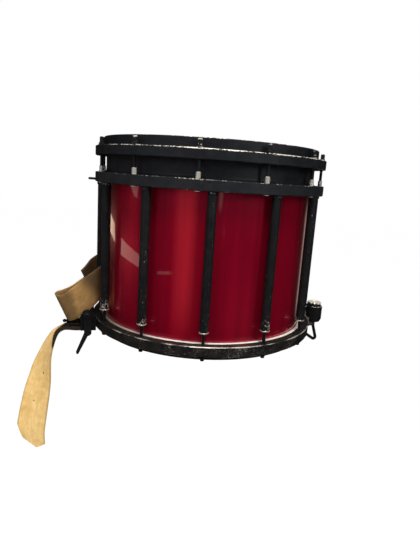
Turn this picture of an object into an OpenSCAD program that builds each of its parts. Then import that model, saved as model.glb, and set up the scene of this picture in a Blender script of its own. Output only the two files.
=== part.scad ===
// Marching snare drum with a free-floating shell, 14 by 12 inches.
// The edge ring, twelve tubes and the bottom hoop carry the load, and the shell floats between them.
// Frame: +Z up, the origin on the drum's axis in the plane of the bottom rim's edge.
// Angles are seen from above: 0 faces -Y, and they grow towards +X.

/* [Shell] */
// Height of the drum from rim to rim
drum_h = 321; // [280:1:360]
// Outer radius of the wooden shell
shell_r = 175; // [165:0.5:185]
// Thickness of the shell's wall
shell_wall = 9; // [6:0.5:12]

/* [Heads] */
// Thickness of a head's film
film_t = 0.4; // [0.3:0.05:0.8]
// Width of a flesh hoop, across its section
flesh_w = 5; // [4:0.25:6]
// Height of the batter head's flesh hoop
batter_flesh_h = 8.5; // [6:0.5:10]
// Height of the snare head's flesh hoop
snare_flesh_h = 12; // [10:0.5:16]
// Depth of the batter head's bearing edge below the top rim
batter_drop = 12; // [8:0.5:15]
// Height of the snare head's film above the bottom rim's edge
snare_lift = 8.6; // [7.5:0.1:10]

/* [Hoops] */
// Thickness of the top rim's wall
rim_wall = 3; // [2.5:0.25:4]
// Height of the top rim above its flange
rim_h = 15; // [12:0.5:18]
// Height of the top hoop's flange
flange_h = 15; // [12:0.5:18]
// Thickness of the web over the batter flesh hoop
web_t = 3.5; // [2.5:0.25:5]
// Height of the bottom rim below its flange
bottom_rim_h = 8.5; // [7.5:0.5:10]
// Height of the bottom hoop's flange
bottom_flange_h = 16.5; // [12:0.5:18]
// Thickness of the ledge under the snare flesh hoop
ledge_t = 4.5; // [3.5:0.25:6]
// Metal between a flesh hoop's pocket and the rod holes
pocket_wall = 3.4; // [2:0.1:4]
// Metal outside the rod holes
hoop_wall = 2.7; // [1.5:0.1:3.5]
// Rounding of the hoops' worn edges
edge_round = 1; // [0.6:0.1:1.4]

/* [Edge ring] */
// Thickness of the collar round the top of the shell
collar_wall = 2.2; // [1.6:0.1:3]
// Height of the ring that holds the receivers and tubes
ring_h = 16; // [12:0.5:20]
// Open height between the top hoop and the ring
ring_gap = 26; // [20:0.5:32]
// Metal outside the receivers
ring_wall = 1.3; // [1:0.1:2.5]
// Radius of the flare from the collar to the ring
flare_r = 5; // [2:0.5:6]
// Height of the bearing ring above the shell's top
bearing_h = 26; // [20:0.5:30]

/* [Tension rods] */
// Radius of a rod's shank
rod_r = 2.4; // [2.2:0.1:2.8]
// Width of a rod's square key head
key_w = 5.8; // [5.4:0.1:6.5]
// Height of the square on a top rod
top_key_h = 8.5; // [6:0.5:9]
// Height of the square on a bottom rod
bottom_key_h = 3.8; // [3:0.1:4]
// Radius of the round flange under the square
rod_flange_r = 4.6; // [4.4:0.1:5]
// Thickness of that flange
rod_flange_t = 2.2; // [1.5:0.1:2.3]
// Radius of a rod's washer
washer_r = 5.2; // [4.8:0.1:5.4]
// Thickness of a rod's washer
washer_t = 1.5; // [1:0.1:1.6]

/* [Receivers and tubes] */
// Radius of a receiver's body in the ring
insert_r = 4; // [3.8:0.1:4.4]
// Radius of a receiver's ribbed top
insert_boss_r = 3.6; // [3.5:0.1:5]
// Height of a receiver above the ring
insert_boss_h = 9.5; // [8:0.5:14]
// Length of a receiver below the ring
insert_tail = 1; // [0.8:0.1:3]
// Outer radius of a frame tube
tube_r = 7; // [6:0.25:7.25]
// Wall of a frame tube
tube_wall = 2; // [1.2:0.1:2.2]
// How far the tubes sit inside the ring's edge
tube_inset = 0.8; // [0.3:0.1:2]
// Open height between the bottom hoop and the tubes' bushes
bush_gap_h = 18.8; // [14:0.2:26]
// Radius of a bush's collar
bush_r = 7.7; // [7.2:0.1:9]
// Height of a bush's collar
bush_h = 2.2; // [1.8:0.1:6]
// Length of a bush inside its tube
bush_plug_h = 12; // [8:0.5:20]
// Length of the ring's spigot inside a tube
spigot_h = 14; // [10:0.5:20]
// Radius of a tube's retaining screw
tube_screw_r = 1.25; // [1:0.05:1.5]
// Height of that screw below the ring
tube_screw_drop = 4; // [4:0.5:7]

/* [Strainer] */
// Thickness of the strainer's back plate
plate_t = 7.2; // [6:0.2:9]
// Half the width of the strainer between its cheeks
strainer_half = 26; // [24:0.5:28]
// Thickness of a cheek
cheek_t = 6; // [5:0.25:7]
// Length of the cheeks out from the back plate
cheek_len = 15; // [14:0.5:18]
// Height of the lever's pivot
pivot_z = 30.5; // [28:0.5:34]
// Radius of the lever's pivot pin
pin_r = 3; // [2.5:0.1:3.5]
// Thickness of the lever
lever_t = 6; // [5:0.25:7]
// Length of the lever from the pivot to the knee
lever_leg = 35; // [30:0.5:38]
// Reach of the lever's handle beyond the knee, outwards
handle_out = 16.5; // [12:0.5:20]
// Drop of the lever's handle beyond the knee
handle_down = 29; // [22:0.5:32]
// Radius of the snare adjuster's barrel
barrel_r = 4.5; // [4.5:0.25:5.5]
// Length of the snare adjuster's barrel
barrel_len = 22; // [16:0.5:24]
// Radius of the mechanism's fixing screws
fix_r = 2.5; // [2:0.1:2.8]

/* [Snares] */
// Radius of a snare strand
strand_r = 0.8; // [0.6:0.05:0.9]
// Spacing of the strands
strand_pitch = 4; // [3:0.1:4.2]
// Number of strands
strand_count = 10; // [6:2:10]

/* [Butt] */
// Radius of the butt's round housing
housing_r = 16.5; // [14:0.5:18]
// Height of the butt's housing
housing_h = 32; // [28:0.5:36]
// Distance of the housing's axis from the hoop
housing_reach = 37.5; // [34:0.5:42]
// Radius of the snare height wheel
wheel_r = 13.5; // [9:0.5:14]
// Height of the snare height wheel
wheel_h = 7; // [5:0.5:9]
// Radius of the snare guard's rod
guard_r = 3; // [2:0.1:3.2]
// Depth of the snare guard below the rim's edge
guard_depth = 44.5; // [30:0.5:46]

/* [Strap] */
// Width of the leather strap
strap_w = 48; // [40:1:52]
// Thickness of the leather strap
strap_t = 3; // [2:0.25:3]

/* [Clearances] */
// Gap between pieces that sit on each other
seat_gap = 0.3; // [0.2:0.05:0.4]
// Radial gap of a rod in its hoop
rod_gap = 0.4; // [0.3:0.05:0.6]
// Radial gap of a screw, pin or bush in its hole
bore_gap = 0.1; // [0.05:0.01:0.15]
// Gap between a rim's inner wall and the head's film
rim_gap = 0.8; // [0.5:0.1:1.5]

/* [Hidden] */
rod_count = 12;
pitch_a = 360 / rod_count;
first_rod_a = -35;
first_tube_a = -28.5;
strainer_a = first_tube_a - 1.5 * pitch_a;
butt_a = strainer_a + 180;
big = 128;
small = 40;

// Radii, worked outwards from the shell
shell_in = shell_r - shell_wall;
shell_bevel = 1;
edge_bevel = 2;
collar_in = shell_r + seat_gap;
collar_r = collar_in + collar_wall;
batter_film_in = collar_r + seat_gap;
batter_film_r = batter_film_in + film_t;
batter_flesh_in = batter_film_r + seat_gap;
batter_flesh_r = batter_flesh_in + flesh_w;
rim_in = batter_film_r + rim_gap;
rim_r = rim_in + rim_wall;
pocket_r = batter_flesh_r + seat_gap;
hole_r = rod_r + rod_gap;
rod_circle = pocket_r + pocket_wall + hole_r;
hoop_r = rod_circle + hole_r + hoop_wall;
ring_r = rod_circle + insert_r + ring_wall;
tube_circle = ring_r - tube_inset - tube_r;
tube_in = tube_r - tube_wall;
snare_film_in = shell_r + seat_gap;
snare_film_r = snare_film_in + film_t;
snare_flesh_in = snare_film_r + seat_gap;
snare_flesh_r = snare_flesh_in + flesh_w;
bottom_pocket_r = snare_flesh_r + seat_gap;
bottom_rim_in = snare_film_r + rim_gap;
bottom_rim_r = tube_circle - washer_r - seat_gap;

// Heights, worked from both rims
flange_top = drum_h - rim_h;
flange_bottom = flange_top - flange_h;
web_z = flange_top - web_t;
edge_z = drum_h - batter_drop;
ring_top = flange_bottom - ring_gap;
ring_z = ring_top - ring_h;
shell_top = edge_z - bearing_h;
shell_z = snare_lift + film_t;
bottom_flange_top = bottom_rim_h + bottom_flange_h;
ledge_z = bottom_rim_h + ledge_t;
bush_z = bottom_flange_top + bush_gap_h;
tube_z = bush_z + bush_h;

// Strainer and butt, in their own frames: x outwards, y along the hoop, z up
back_x = hoop_r + seat_gap;
plate_x = back_x + plate_t;
cheek_x = plate_x + cheek_len;
yoke_t = 4;
yoke_x = cheek_x - yoke_t;
mech_bottom = 3;
pivot_x = plate_x + 4.7;
lever_y = strainer_half + cheek_t + 0.5;
knee_x = pivot_x - 1;
knee_z = pivot_z - lever_leg;
lever_w = 12;
strand_z = snare_lift - seat_gap - strand_r;
strand_half = (strand_count - 1) * strand_pitch / 2;
clamp_half = strand_half + strand_r + 2;
window_half = clamp_half + 1;
gate_half = strand_half + strand_r + 3;
gate_z = strand_z + strand_r + 2;
fix_y = 14;
fix_z = ledge_z + 6.7;
carriage_x = plate_x + 1;
carriage_len = 7;
clamp_x = carriage_x + carriage_len;
adjuster_r = 2;
clamp_gap = seat_gap / 2;
adjuster_z = strand_z + strand_r + clamp_gap + adjuster_r + 1;
barrel_x = cheek_x + seat_gap;
ball_r = 3;
housing_x = hoop_r + housing_reach;
bar_r = 2.5;
bar_at = plate_x + 6;
end_block_x = plate_x + 1;
cavity_r = 9;
tongue_half = 6;
tongue_z0 = strand_z - bar_r - 0.5;
tongue_z1 = strand_z + bar_r + 1;
lifter_r = cavity_r - 0.4;
housing_floor = 4;
arm_t = 9;
guard_x = housing_x + 0.7;
foot_screw_x = housing_x - 9.5;
foot_screw_h = housing_floor - 2;
stud_a = -86;
stud_r = 2;
stud_z = ring_z + 3.2;

// The strap's loop passes between a tube and the shell, and its tail starts under the strainer's yoke
tube_gap_r = (shell_r + tube_circle - tube_r) / 2;
loop_rise = 70;
loop_at = [tube_gap_r * cos(pitch_a / 2), -tube_gap_r * sin(pitch_a / 2), bottom_flange_top + loop_rise];
tail_at = [cheek_x, 0, mech_bottom - seat_gap - strap_t / 2];
// Strap routes in the strainer's frame: outwards, along the hoop, up
// The loop runs from its inner end round the tube, along the shell, out, round its bend and back behind it
loop_steps = [
  [34.8, -1.5, -23.5], [27.3, -9, -17], [20.8, -15.3, -10.5], [8.3, -15.5, -2.5], [0.9, -8, 0.5], [0, 0, 1],
  [2.5, 12, -0.5], [5.5, 28, -4], [8.1, 44, -8.5], [13.3, 55, -14], [21.3, 60.5, -20.5],
  [31.3, 62.5, -28.5], [40.3, 63, -36.3], [50.3, 63.2, -44.4], [60.8, 63, -52.5], [69.8, 60.5, -57.2],
  [75.8, 53.5, -57.2], [76.8, 42.5, -55.7], [71.3, 31, -55.6], [56.8, 16, -52], [40.3, -1, -44],
  [18.3, -23, -32.5]
];
// How far the top edge leans outwards and forwards at each of those points
loop_lean = [
  [0.45, 0.45], [0.38, 0.38], [0.18, 0.16], [0, 0], [0, 0], [0, 0], [0, 0], [0, 0], [0, 0], [0, 0], [0, 0],
  [0.05, 0], [0.12, 0.02], [0.25, 0.05], [0.38, 0.06], [0.46, 0.04], [0.46, -0.02], [0.4, 0.04],
  [0.26, 0.14], [0.1, 0.08], [0, 0], [0, 0]
];
// The tail runs from under the strainer out and down to its free end
tail_steps = [
  [-6, -2, 0], [7, -2, 0], [19, -2, -0.2], [29, -2, -3], [40.5, -1, -10.7], [50, 1, -28.2],
  [57.5, 4, -49.2], [62, 8, -67.2], [66, 12, -88.2], [71, 16, -112.2], [76, 20, -140.2],
  [81, 24, -173.2], [82, 25, -187.2], [81, 26, -200.2]
];
// Turn of the tail about an upright line at each of those points, in degrees
tail_turn = [0, 0, 0, -3, -10, -17, -25, -36, -48, -60, -68, -74, -76, -76];
// Rise of its front edge at each of those points
tail_tilt = [0, 0, 0.06, 0.16, 0.2, 0.16, 0.08, 0, 0, 0, 0, 0, 0, 0];
// Share of the full width at each of those points, for the cut end
tail_taper = [1, 1, 1, 1, 1, 1, 1, 1, 1, 1, 1, 1, 0.86, 0.42];
strap_screw_y = 12;
strap_screw_r = 1.3;
strap_screw_h = 8;
rivet_r = 2;
// Step from the loop's inner layer to its outer one, where they lap
layer_step = 3.5;
rivet_along = 0.6;
rivet_apart = 10;
rivet_drop = 12.5;
rivet_bore_h = 4 * strap_t;
loop_route = [for (p = loop_steps) loop_at + p];
tail_route = [for (p = tail_steps) tail_at + p];

top_rods = [for (i = [1:rod_count]) str("top_rod_", i < 10 ? "0" : "", i)];
bottom_rods = [for (i = [1:rod_count]) str("bottom_rod_", i < 10 ? "0" : "", i)];

// Turns a piece to an angle round the drum, with x outwards
module at_angle(a) {
  rotate([0, 0, a - 90]) children();
}

// Sets copies of a piece on a circle round the drum
module round_drum(r, start) {
  for (i = [0:rod_count - 1]) at_angle(start + i * pitch_a) translate([r, 0, 0]) children();
}

// A ring turned from a profile of radius and height
module turned(points) {
  rotate_extrude($fn = big) polygon(points);
}

// A small round piece turned from a profile of radius and height
module small_turned(points) {
  rotate_extrude($fn = small) polygon(points);
}

// A round bar along x
module bar_x(r, x0, x1) {
  translate([x0, 0, 0]) rotate([0, 90, 0]) cylinder(r = r, h = x1 - x0, $fn = small);
}

// A round bar along y
module bar_y(r, y0, y1) {
  translate([0, y0, 0]) rotate([-90, 0, 0]) cylinder(r = r, h = y1 - y0, $fn = small);
}

// A block from one corner to the other
module block(a, b) {
  translate(a) cube(b - a);
}

// Points of an arc, for a rounded profile
function arc(cx, cz, r, a0, a1, n = 5) =
  [for (i = [0:n]) [cx + r * cos(a0 + (a1 - a0) * i / n), cz + r * sin(a0 + (a1 - a0) * i / n)]];

// A point on a smooth curve through the points of a route, at step u
function clamp_i(i, n) = max(0, min(n - 1, i));
function curve_at(p, u) =
  let (n = len(p), i = min(floor(u), n - 2), f = u - i,
       a = p[clamp_i(i - 1, n)], b = p[i], c = p[i + 1], d = p[clamp_i(i + 2, n)])
  0.5 * (2 * b + (c - a) * f + (2 * a - 5 * b + 4 * c - d) * f * f + (3 * b - a - 3 * c + d) * f * f * f);
function unit(v) = v / norm(v);

// A flat strap swept along a route, with its cross direction and share of width at each point
// The cross direction may slant, and the width is kept square to the run
module strap(route, across, share, steps) {
  last = (len(route) - 1) * steps;
  path = [for (k = [0:last]) curve_at(route, k / steps)];
  rings = [for (k = [0:last])
    let (t = unit(path[min(k + 1, last)] - path[max(k - 1, 0)]), w0 = curve_at(across, k / steps),
         w = w0 / norm(w0 - (w0 * t) * t), n = unit(cross(t, w)), s = curve_at(share, k / steps),
         h = strap_w * s / 2 * w, q = strap_t / 2 * n)
    [path[k] - h - q, path[k] + h - q, path[k] + h + q, path[k] - h + q]];
  points = [for (ring = rings) for (p = ring) p];
  sides = [for (k = [0:last - 1]) for (j = [0:3])
    let (a = 4 * k + j, b = 4 * k + (j + 1) % 4) each [[a, b, b + 4], [a, b + 4, a + 4]]];
  e = 4 * last;
  ends = [[0, 2, 1], [0, 3, 2], [e, e + 1, e + 2], [e, e + 2, e + 3]];
  polyhedron(points, [for (f = concat(sides, ends)) [f[2], f[1], f[0]]]);
}

module shell() {
  bearing = 3;
  color([0.46, 0.02, 0.08]) turned([
    [shell_in, shell_z + bearing], [shell_in + bearing, shell_z], [shell_r - shell_bevel, shell_z],
    [shell_r, shell_z + shell_bevel], [shell_r, shell_top], [shell_in, shell_top]]);
}

module edge_ring() {
  apex = collar_r - edge_bevel;
  crest = 1;
  color([0.11, 0.11, 0.12]) difference() {
    union() {
      turned(concat(
        [[collar_in, ring_z], [ring_r - edge_round, ring_z], [ring_r, ring_z + edge_round],
         [ring_r, ring_top - edge_round], [ring_r - edge_round, ring_top]],
        arc(collar_r + flare_r, ring_top + flare_r, flare_r, 270, 180),
        [[collar_r, edge_z - edge_bevel], [apex, edge_z], [apex - crest, edge_z],
         [shell_in, edge_z - (apex - crest - shell_in)], [shell_in, shell_top], [collar_in, shell_top]]));
      round_drum(tube_circle, first_tube_a)
        translate([0, 0, ring_z - spigot_h]) cylinder(r = tube_in - bore_gap, h = spigot_h + 1, $fn = small);
    }
    round_drum(rod_circle, first_rod_a)
      translate([0, 0, ring_z - 1]) cylinder(r = insert_r + bore_gap, h = ring_h + 2, $fn = small);
    round_drum(rod_circle, first_rod_a)
      translate([0, 0, ring_top]) cylinder(r = insert_boss_r + seat_gap, h = insert_boss_h, $fn = small);
    round_drum(tube_circle, first_tube_a) translate([0, 0, ring_z - tube_screw_drop])
      bar_x(tube_screw_r + bore_gap, -1, tube_in);
    at_angle(stud_a) translate([0, 0, stud_z]) bar_x(stud_r + bore_gap, ring_r - 9, ring_r + 1);
  }
}

module top_hoop() {
  fillet = 2;
  color([0.1, 0.1, 0.11]) difference() {
    turned(concat(
      [[rim_in, web_z], [rim_in, drum_h - edge_round], [rim_in + edge_round, drum_h],
       [rim_r - edge_round, drum_h], [rim_r, drum_h - edge_round]],
      arc(rim_r + fillet, flange_top + fillet, fillet, 180, 270),
      [[hoop_r - edge_round, flange_top], [hoop_r, flange_top - edge_round],
       [hoop_r, flange_bottom + edge_round], [hoop_r - edge_round, flange_bottom],
       [pocket_r, flange_bottom], [pocket_r, web_z]]));
    round_drum(rod_circle, first_rod_a)
      translate([0, 0, flange_bottom - 1]) cylinder(r = hole_r, h = flange_h + 2, $fn = small);
    round_drum(rod_circle, first_rod_a)
      translate([0, 0, flange_top]) cylinder(r = washer_r + seat_gap, h = fillet + 1, $fn = small);
  }
}

module batter_film() {
  low = web_z - batter_flesh_h / 2;
  bend_r = collar_r - edge_bevel;
  bend_z = edge_z - edge_bevel + film_t;
  color([0.87, 0.84, 0.76]) turned([
    [0, edge_z], [bend_r, edge_z], [batter_film_in, bend_z], [batter_film_in, low], [batter_film_r, low],
    [batter_film_r, bend_z + film_t], [bend_r + film_t, edge_z + film_t], [0, edge_z + film_t]]);
}

module batter_flesh_hoop() {
  top = web_z - seat_gap;
  color([0.72, 0.72, 0.72]) turned([
    [batter_flesh_in, top - batter_flesh_h], [batter_flesh_r, top - batter_flesh_h],
    [batter_flesh_r, top - 1], [batter_flesh_r - 1, top], [batter_flesh_in, top]]);
}

module washer() {
  color([0.08, 0.08, 0.08]) difference() {
    cylinder(r = washer_r, h = washer_t, $fn = small);
    translate([0, 0, -1]) cylinder(r = hole_r, h = washer_t + 2, $fn = small);
  }
}

module top_washers() {
  round_drum(rod_circle, first_rod_a) translate([0, 0, flange_top]) washer();
}

module bottom_washers() {
  round_drum(tube_circle, first_tube_a) translate([0, 0, bottom_rim_h - washer_t]) washer();
}

// A tension rod with its flange on the plane z = 0, its square above and its shank below
module rod(key_h, shank) {
  tip = 1.2;
  color([0.13, 0.12, 0.12]) {
    small_turned([
      [0, -shank], [rod_r - tip, -shank], [rod_r, tip - shank], [rod_r, 0], [rod_flange_r, 0],
      [rod_flange_r, rod_flange_t - 0.6], [rod_flange_r - 0.6, rod_flange_t], [0, rod_flange_t]]);
    intersection() {
      translate([-key_w / 2, -key_w / 2, 0]) cube([key_w, key_w, rod_flange_t + key_h]);
      small_turned([
        [0, 0], [key_w, 0], [key_w, rod_flange_t + key_h - 0.8 - key_w / 2 * 0.6],
        [key_w / 2 * 0.8, rod_flange_t + key_h], [0, rod_flange_t + key_h]]);
    }
  }
}

// The i-th top rod, counted from 1
module top_rod(i) {
  seat = flange_top + washer_t + seat_gap;
  a = first_rod_a + (i - 1) * pitch_a;
  at_angle(a) translate([rod_circle, 0, seat]) rotate([0, 0, -a]) rod(top_key_h, seat - ring_z - 2);
}

// The i-th bottom rod, counted from 1
module bottom_rod(i) {
  seat = bottom_rim_h - washer_t - seat_gap;
  a = first_tube_a + (i - 1) * pitch_a;
  at_angle(a) translate([tube_circle, 0, seat]) rotate([0, 0, -a]) mirror([0, 0, 1])
    rod(bottom_key_h, tube_z + bush_plug_h + 4 - seat);
}

module receiver_inserts() {
  ribs = 3;
  rib_h = (insert_boss_h - 2) / ribs;
  bore = rod_r + seat_gap;
  color([0.75, 0.73, 0.7]) round_drum(rod_circle, first_rod_a) small_turned(concat(
    [[bore, ring_z - insert_tail], [insert_r, ring_z - insert_tail], [insert_r, ring_top],
     [insert_boss_r, ring_top]],
    [for (k = [0:ribs - 1]) let (z = ring_top + k * rib_h) each [
      [insert_boss_r, z + rib_h * 0.7], [insert_boss_r - 0.4, z + rib_h * 0.8],
      [insert_boss_r - 0.4, z + rib_h * 0.9], [insert_boss_r, z + rib_h]]],
    [[insert_boss_r, ring_top + insert_boss_h - 1], [insert_boss_r - 1, ring_top + insert_boss_h],
     [bore, ring_top + insert_boss_h]]));
}

module frame_tubes() {
  color([0.12, 0.12, 0.13]) round_drum(tube_circle, first_tube_a) difference() {
    translate([0, 0, tube_z]) cylinder(r = tube_r, h = ring_z - tube_z, $fn = small);
    translate([0, 0, tube_z - 1]) cylinder(r = tube_in, h = ring_z - tube_z + 2, $fn = small);
    translate([0, 0, ring_z - tube_screw_drop]) bar_x(tube_screw_r + bore_gap, 0, tube_r + 1);
  }
}

module tube_screws() {
  head_r = tube_screw_r * 1.7;
  head_t = 1.2;
  color([0.75, 0.73, 0.7]) round_drum(tube_circle, first_tube_a)
    translate([tube_r, 0, ring_z - tube_screw_drop]) rotate([0, 90, 0]) small_turned([
      [0, -tube_r], [tube_screw_r, -tube_r], [tube_screw_r, bore_gap], [head_r, bore_gap],
      [head_r, head_t / 2], [head_r * 0.7, head_t], [0, head_t]]);
}

module tube_bushes() {
  bore = rod_r + seat_gap;
  plug = tube_in - bore_gap;
  color([0.78, 0.76, 0.72]) round_drum(tube_circle, first_tube_a) translate([0, 0, bush_z]) small_turned([
    [bore, 0], [bush_r - 0.8, 0], [bush_r, 0.8], [bush_r, bush_h - 0.6], [bush_r - 0.6, bush_h],
    [plug, bush_h], [plug, bush_h + bush_plug_h], [bore, bush_h + bush_plug_h]]);
}

module bottom_hoop() {
  color([0.1, 0.1, 0.1]) difference() {
    turned(
      [[bottom_rim_in + edge_round, 0], [bottom_rim_r - edge_round, 0], [bottom_rim_r, edge_round],
       [bottom_rim_r, bottom_rim_h], [hoop_r - edge_round, bottom_rim_h], [hoop_r, bottom_rim_h + edge_round],
       [hoop_r, bottom_flange_top - edge_round], [hoop_r - edge_round, bottom_flange_top],
       [bottom_pocket_r, bottom_flange_top], [bottom_pocket_r, ledge_z], [bottom_rim_in, ledge_z],
       [bottom_rim_in, edge_round]]);
    round_drum(tube_circle, first_tube_a)
      translate([0, 0, bottom_rim_h - 1]) cylinder(r = hole_r, h = bottom_flange_h + 2, $fn = small);
    for (a = [strainer_a, butt_a]) at_angle(a) {
      block([bottom_rim_in - 9, -gate_half, -1], [hoop_r + 1, gate_half, gate_z]);
      for (y = [-fix_y, fix_y]) translate([0, y, fix_z])
        bar_x(fix_r + bore_gap, bottom_pocket_r - 1, hoop_r + 1);
    }
  }
}

module snare_film() {
  low = snare_lift;
  top = ledge_z + snare_flesh_h / 2;
  bend_r = snare_film_in - shell_bevel;
  color([0.95, 0.94, 0.9]) turned([
    [0, low], [bend_r + film_t * 0.4, low], [snare_film_r, low + film_t * 0.6 + shell_bevel],
    [snare_film_r, top], [snare_film_in, top], [snare_film_in, low + film_t + shell_bevel],
    [bend_r, low + film_t], [0, low + film_t]]);
}

module snare_flesh_hoop() {
  z0 = ledge_z + seat_gap;
  color([0.95, 0.93, 0.88]) turned([
    [snare_flesh_in, z0], [snare_flesh_r, z0], [snare_flesh_r, z0 + snare_flesh_h - 1],
    [snare_flesh_r - 1, z0 + snare_flesh_h], [snare_flesh_in, z0 + snare_flesh_h]]);
}

// A back plate on the bottom hoop, with the window that the snares pass through
module back_plate(half, z0) {
  top = bottom_flange_top + 3;
  difference() {
    block([back_x - 8, -half, z0], [plate_x, half, top]);
    translate([0, 0, z0 - 1]) cylinder(r = back_x, h = top - z0 + 2, $fn = big);
    block([back_x - 9, -window_half, strand_z - 5.5], [plate_x + 1, window_half, strand_z + strand_r + 4]);
    for (y = [-fix_y, fix_y]) translate([0, y, fix_z]) bar_x(fix_r + bore_gap, back_x - 9, plate_x + 1);
  }
}

// The two screws that hold a back plate to the hoop
module plate_screws() {
  head_r = fix_r * 1.7;
  head_t = fix_r * 1.1;
  for (y = [-fix_y, fix_y]) translate([plate_x, y, fix_z]) rotate([0, 90, 0]) difference() {
    small_turned([
      [0, bottom_pocket_r + 2 - plate_x], [fix_r, bottom_pocket_r + 2 - plate_x], [fix_r, 0], [head_r, 0],
      [head_r, head_t * 0.6], [head_r * 0.7, head_t], [0, head_t]]);
    translate([-0.6, -head_r, head_t * 0.5]) cube([1.2, head_r * 2, head_t]);
  }
}

module strainer_bracket() {
  outer = strainer_half + cheek_t;
  boss_r = 8;
  slot = adjuster_r + 0.6;
  color([0.07, 0.07, 0.08]) at_angle(strainer_a) difference() {
    union() {
      back_plate(outer, mech_bottom);
      block([plate_x - 1, strainer_half, mech_bottom], [cheek_x, outer, pivot_z]);
      translate([pivot_x, 0, pivot_z]) bar_y(boss_r, strainer_half, outer);
      block([pivot_x - boss_r, strainer_half, bottom_flange_top], [plate_x, outer, pivot_z]);
      block([plate_x - 1, -outer, mech_bottom], [cheek_x, -strainer_half, bottom_flange_top]);
      block([yoke_x, -outer, mech_bottom], [cheek_x, outer, adjuster_z + slot + 4]);
    }
    translate([0, 0, mech_bottom]) cylinder(r = back_x, h = pivot_z + 40, $fn = big);
    translate([pivot_x, 0, pivot_z]) bar_y(pin_r + bore_gap, strainer_half - 1, outer + 1);
    block([yoke_x - 1, -slot, mech_bottom - 1], [cheek_x + 1, slot, adjuster_z + slot]);
    for (y = [-strap_screw_y, strap_screw_y]) translate([cheek_x - yoke_t / 2, y, mech_bottom - 1])
      cylinder(r = strap_screw_r + bore_gap, h = strap_screw_h + 3, $fn = small);
  }
}

module strainer_screws() {
  color([0.2, 0.2, 0.2]) at_angle(strainer_a) plate_screws();
}

// A flat link from one round end to another, in the plane of x and z, as thick as the lever
module link(a, b, ra, rb) {
  d = b - a;
  side = unit([-d[1], d[0]]);
  translate([0, lever_y + lever_t, 0]) rotate([90, 0, 0]) linear_extrude(lever_t) union() {
    translate(a) circle(r = ra, $fn = small);
    translate(b) circle(r = rb, $fn = small);
    polygon([a + side * ra, b + side * rb, b - side * rb, a - side * ra]);
  }
}

module strainer_lever() {
  half = lever_w / 2;
  pivot = [pivot_x, pivot_z];
  knee = [knee_x, knee_z + half];
  elbow = [knee_x + 1.5, knee_z + half - 1];
  tip = [knee_x + handle_out, knee_z - handle_down];
  color([0.09, 0.09, 0.09]) at_angle(strainer_a) difference() {
    union() {
      link(pivot, knee, half, half);
      link(elbow, tip, 3.6, 2.2);
    }
    translate([pivot_x, 0, pivot_z]) bar_y(pin_r + bore_gap, lever_y - 1, lever_y + lever_t + 1);
  }
}

module lever_pin() {
  head_r = pin_r * 1.5;
  head_t = 2.2;
  socket_r = pin_r * 0.55;
  y1 = lever_y + lever_t + seat_gap;
  color([0.78, 0.76, 0.72]) at_angle(strainer_a)
    translate([pivot_x, y1, pivot_z]) rotate([-90, 0, 0]) small_turned([
      [0, strainer_half - y1 + 0.5], [pin_r, strainer_half - y1 + 0.5], [pin_r, 0], [head_r, 0],
      [head_r, head_t * 0.6], [head_r * 0.8, head_t], [socket_r, head_t], [socket_r, head_t / 2],
      [0, head_t / 2]]);
}

// The block on the strainer's side that holds the strands' ends
module snare_carriage() {
  color([0.16, 0.16, 0.17]) at_angle(strainer_a) difference() {
    block([carriage_x, -clamp_half, strand_z + strand_r + clamp_gap],
          [clamp_x, clamp_half, adjuster_z + adjuster_r + 1.5]);
    translate([0, 0, adjuster_z]) bar_x(adjuster_r + bore_gap, carriage_x + 2, clamp_x + 1);
  }
}

// The plate that presses the strands on the carriage
module carriage_plate() {
  z1 = strand_z - strand_r - clamp_gap;
  screw_r = 1.6;
  color([0.7, 0.69, 0.66]) at_angle(strainer_a) union() {
    block([carriage_x + 0.5, -clamp_half, z1 - 2], [clamp_x - 0.5, clamp_half, z1]);
    for (y = [-clamp_half / 2, clamp_half / 2]) translate([carriage_x + carriage_len / 2, y, z1 - 1])
      mirror([0, 0, 1])
      small_turned([[0, 0], [screw_r * 1.6, 0], [screw_r * 1.6, 1.6], [screw_r, 2.2], [0, 2.2]]);
  }
}

module snare_strands() {
  color([0.8, 0.79, 0.76]) at_angle(strainer_a)
    for (k = [0:strand_count - 1]) translate([0, k * strand_pitch - strand_half, strand_z])
      bar_x(strand_r, -end_block_x, clamp_x - 1);
}

// The knurled barrel that draws the strands tight, with its screw
module snare_adjuster() {
  flutes = 12;
  ball_x = barrel_x + barrel_len + 3.5;
  neck_r = 2.2;
  color([0.08, 0.08, 0.08]) at_angle(strainer_a) translate([0, 0, adjuster_z]) difference() {
    union() {
      translate([barrel_x, 0, 0]) rotate([0, 90, 0]) small_turned([
        [0, 0], [barrel_r - 0.8, 0], [barrel_r, 0.8], [barrel_r, barrel_len - 1.5],
        [barrel_r - 1.5, barrel_len], [0, barrel_len]]);
      bar_x(adjuster_r, carriage_x + 2.5, barrel_x + 1);
      bar_x(neck_r, barrel_x + barrel_len - 1, ball_x);
      translate([ball_x, 0, 0]) sphere(r = ball_r, $fn = small);
    }
    for (k = [0:flutes - 1]) rotate([k * 360 / flutes, 0, 0]) translate([0, 0, barrel_r + 0.3])
      bar_x(0.9, barrel_x + 2, barrel_x + barrel_len + 1);
  }
}

module butt_bracket() {
  arm_half = 6.5;
  foot_r = 5.6;
  z0 = -arm_t;
  color([0.42, 0.41, 0.39]) at_angle(butt_a) difference() {
    union() {
      back_plate(window_half + 4, z0);
      block([plate_x - 1, -arm_half, z0], [housing_x, arm_half, 0]);
      translate([housing_x, 0, z0]) cylinder(r = foot_r, h = arm_t, $fn = small);
    }
    translate([0, 0, z0 - 1]) cylinder(r = back_x, h = arm_t + 60, $fn = big);
    translate([foot_screw_x, 0, z0 - 1]) cylinder(r = fix_r + bore_gap, h = arm_t + 2, $fn = small);
  }
}

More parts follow.
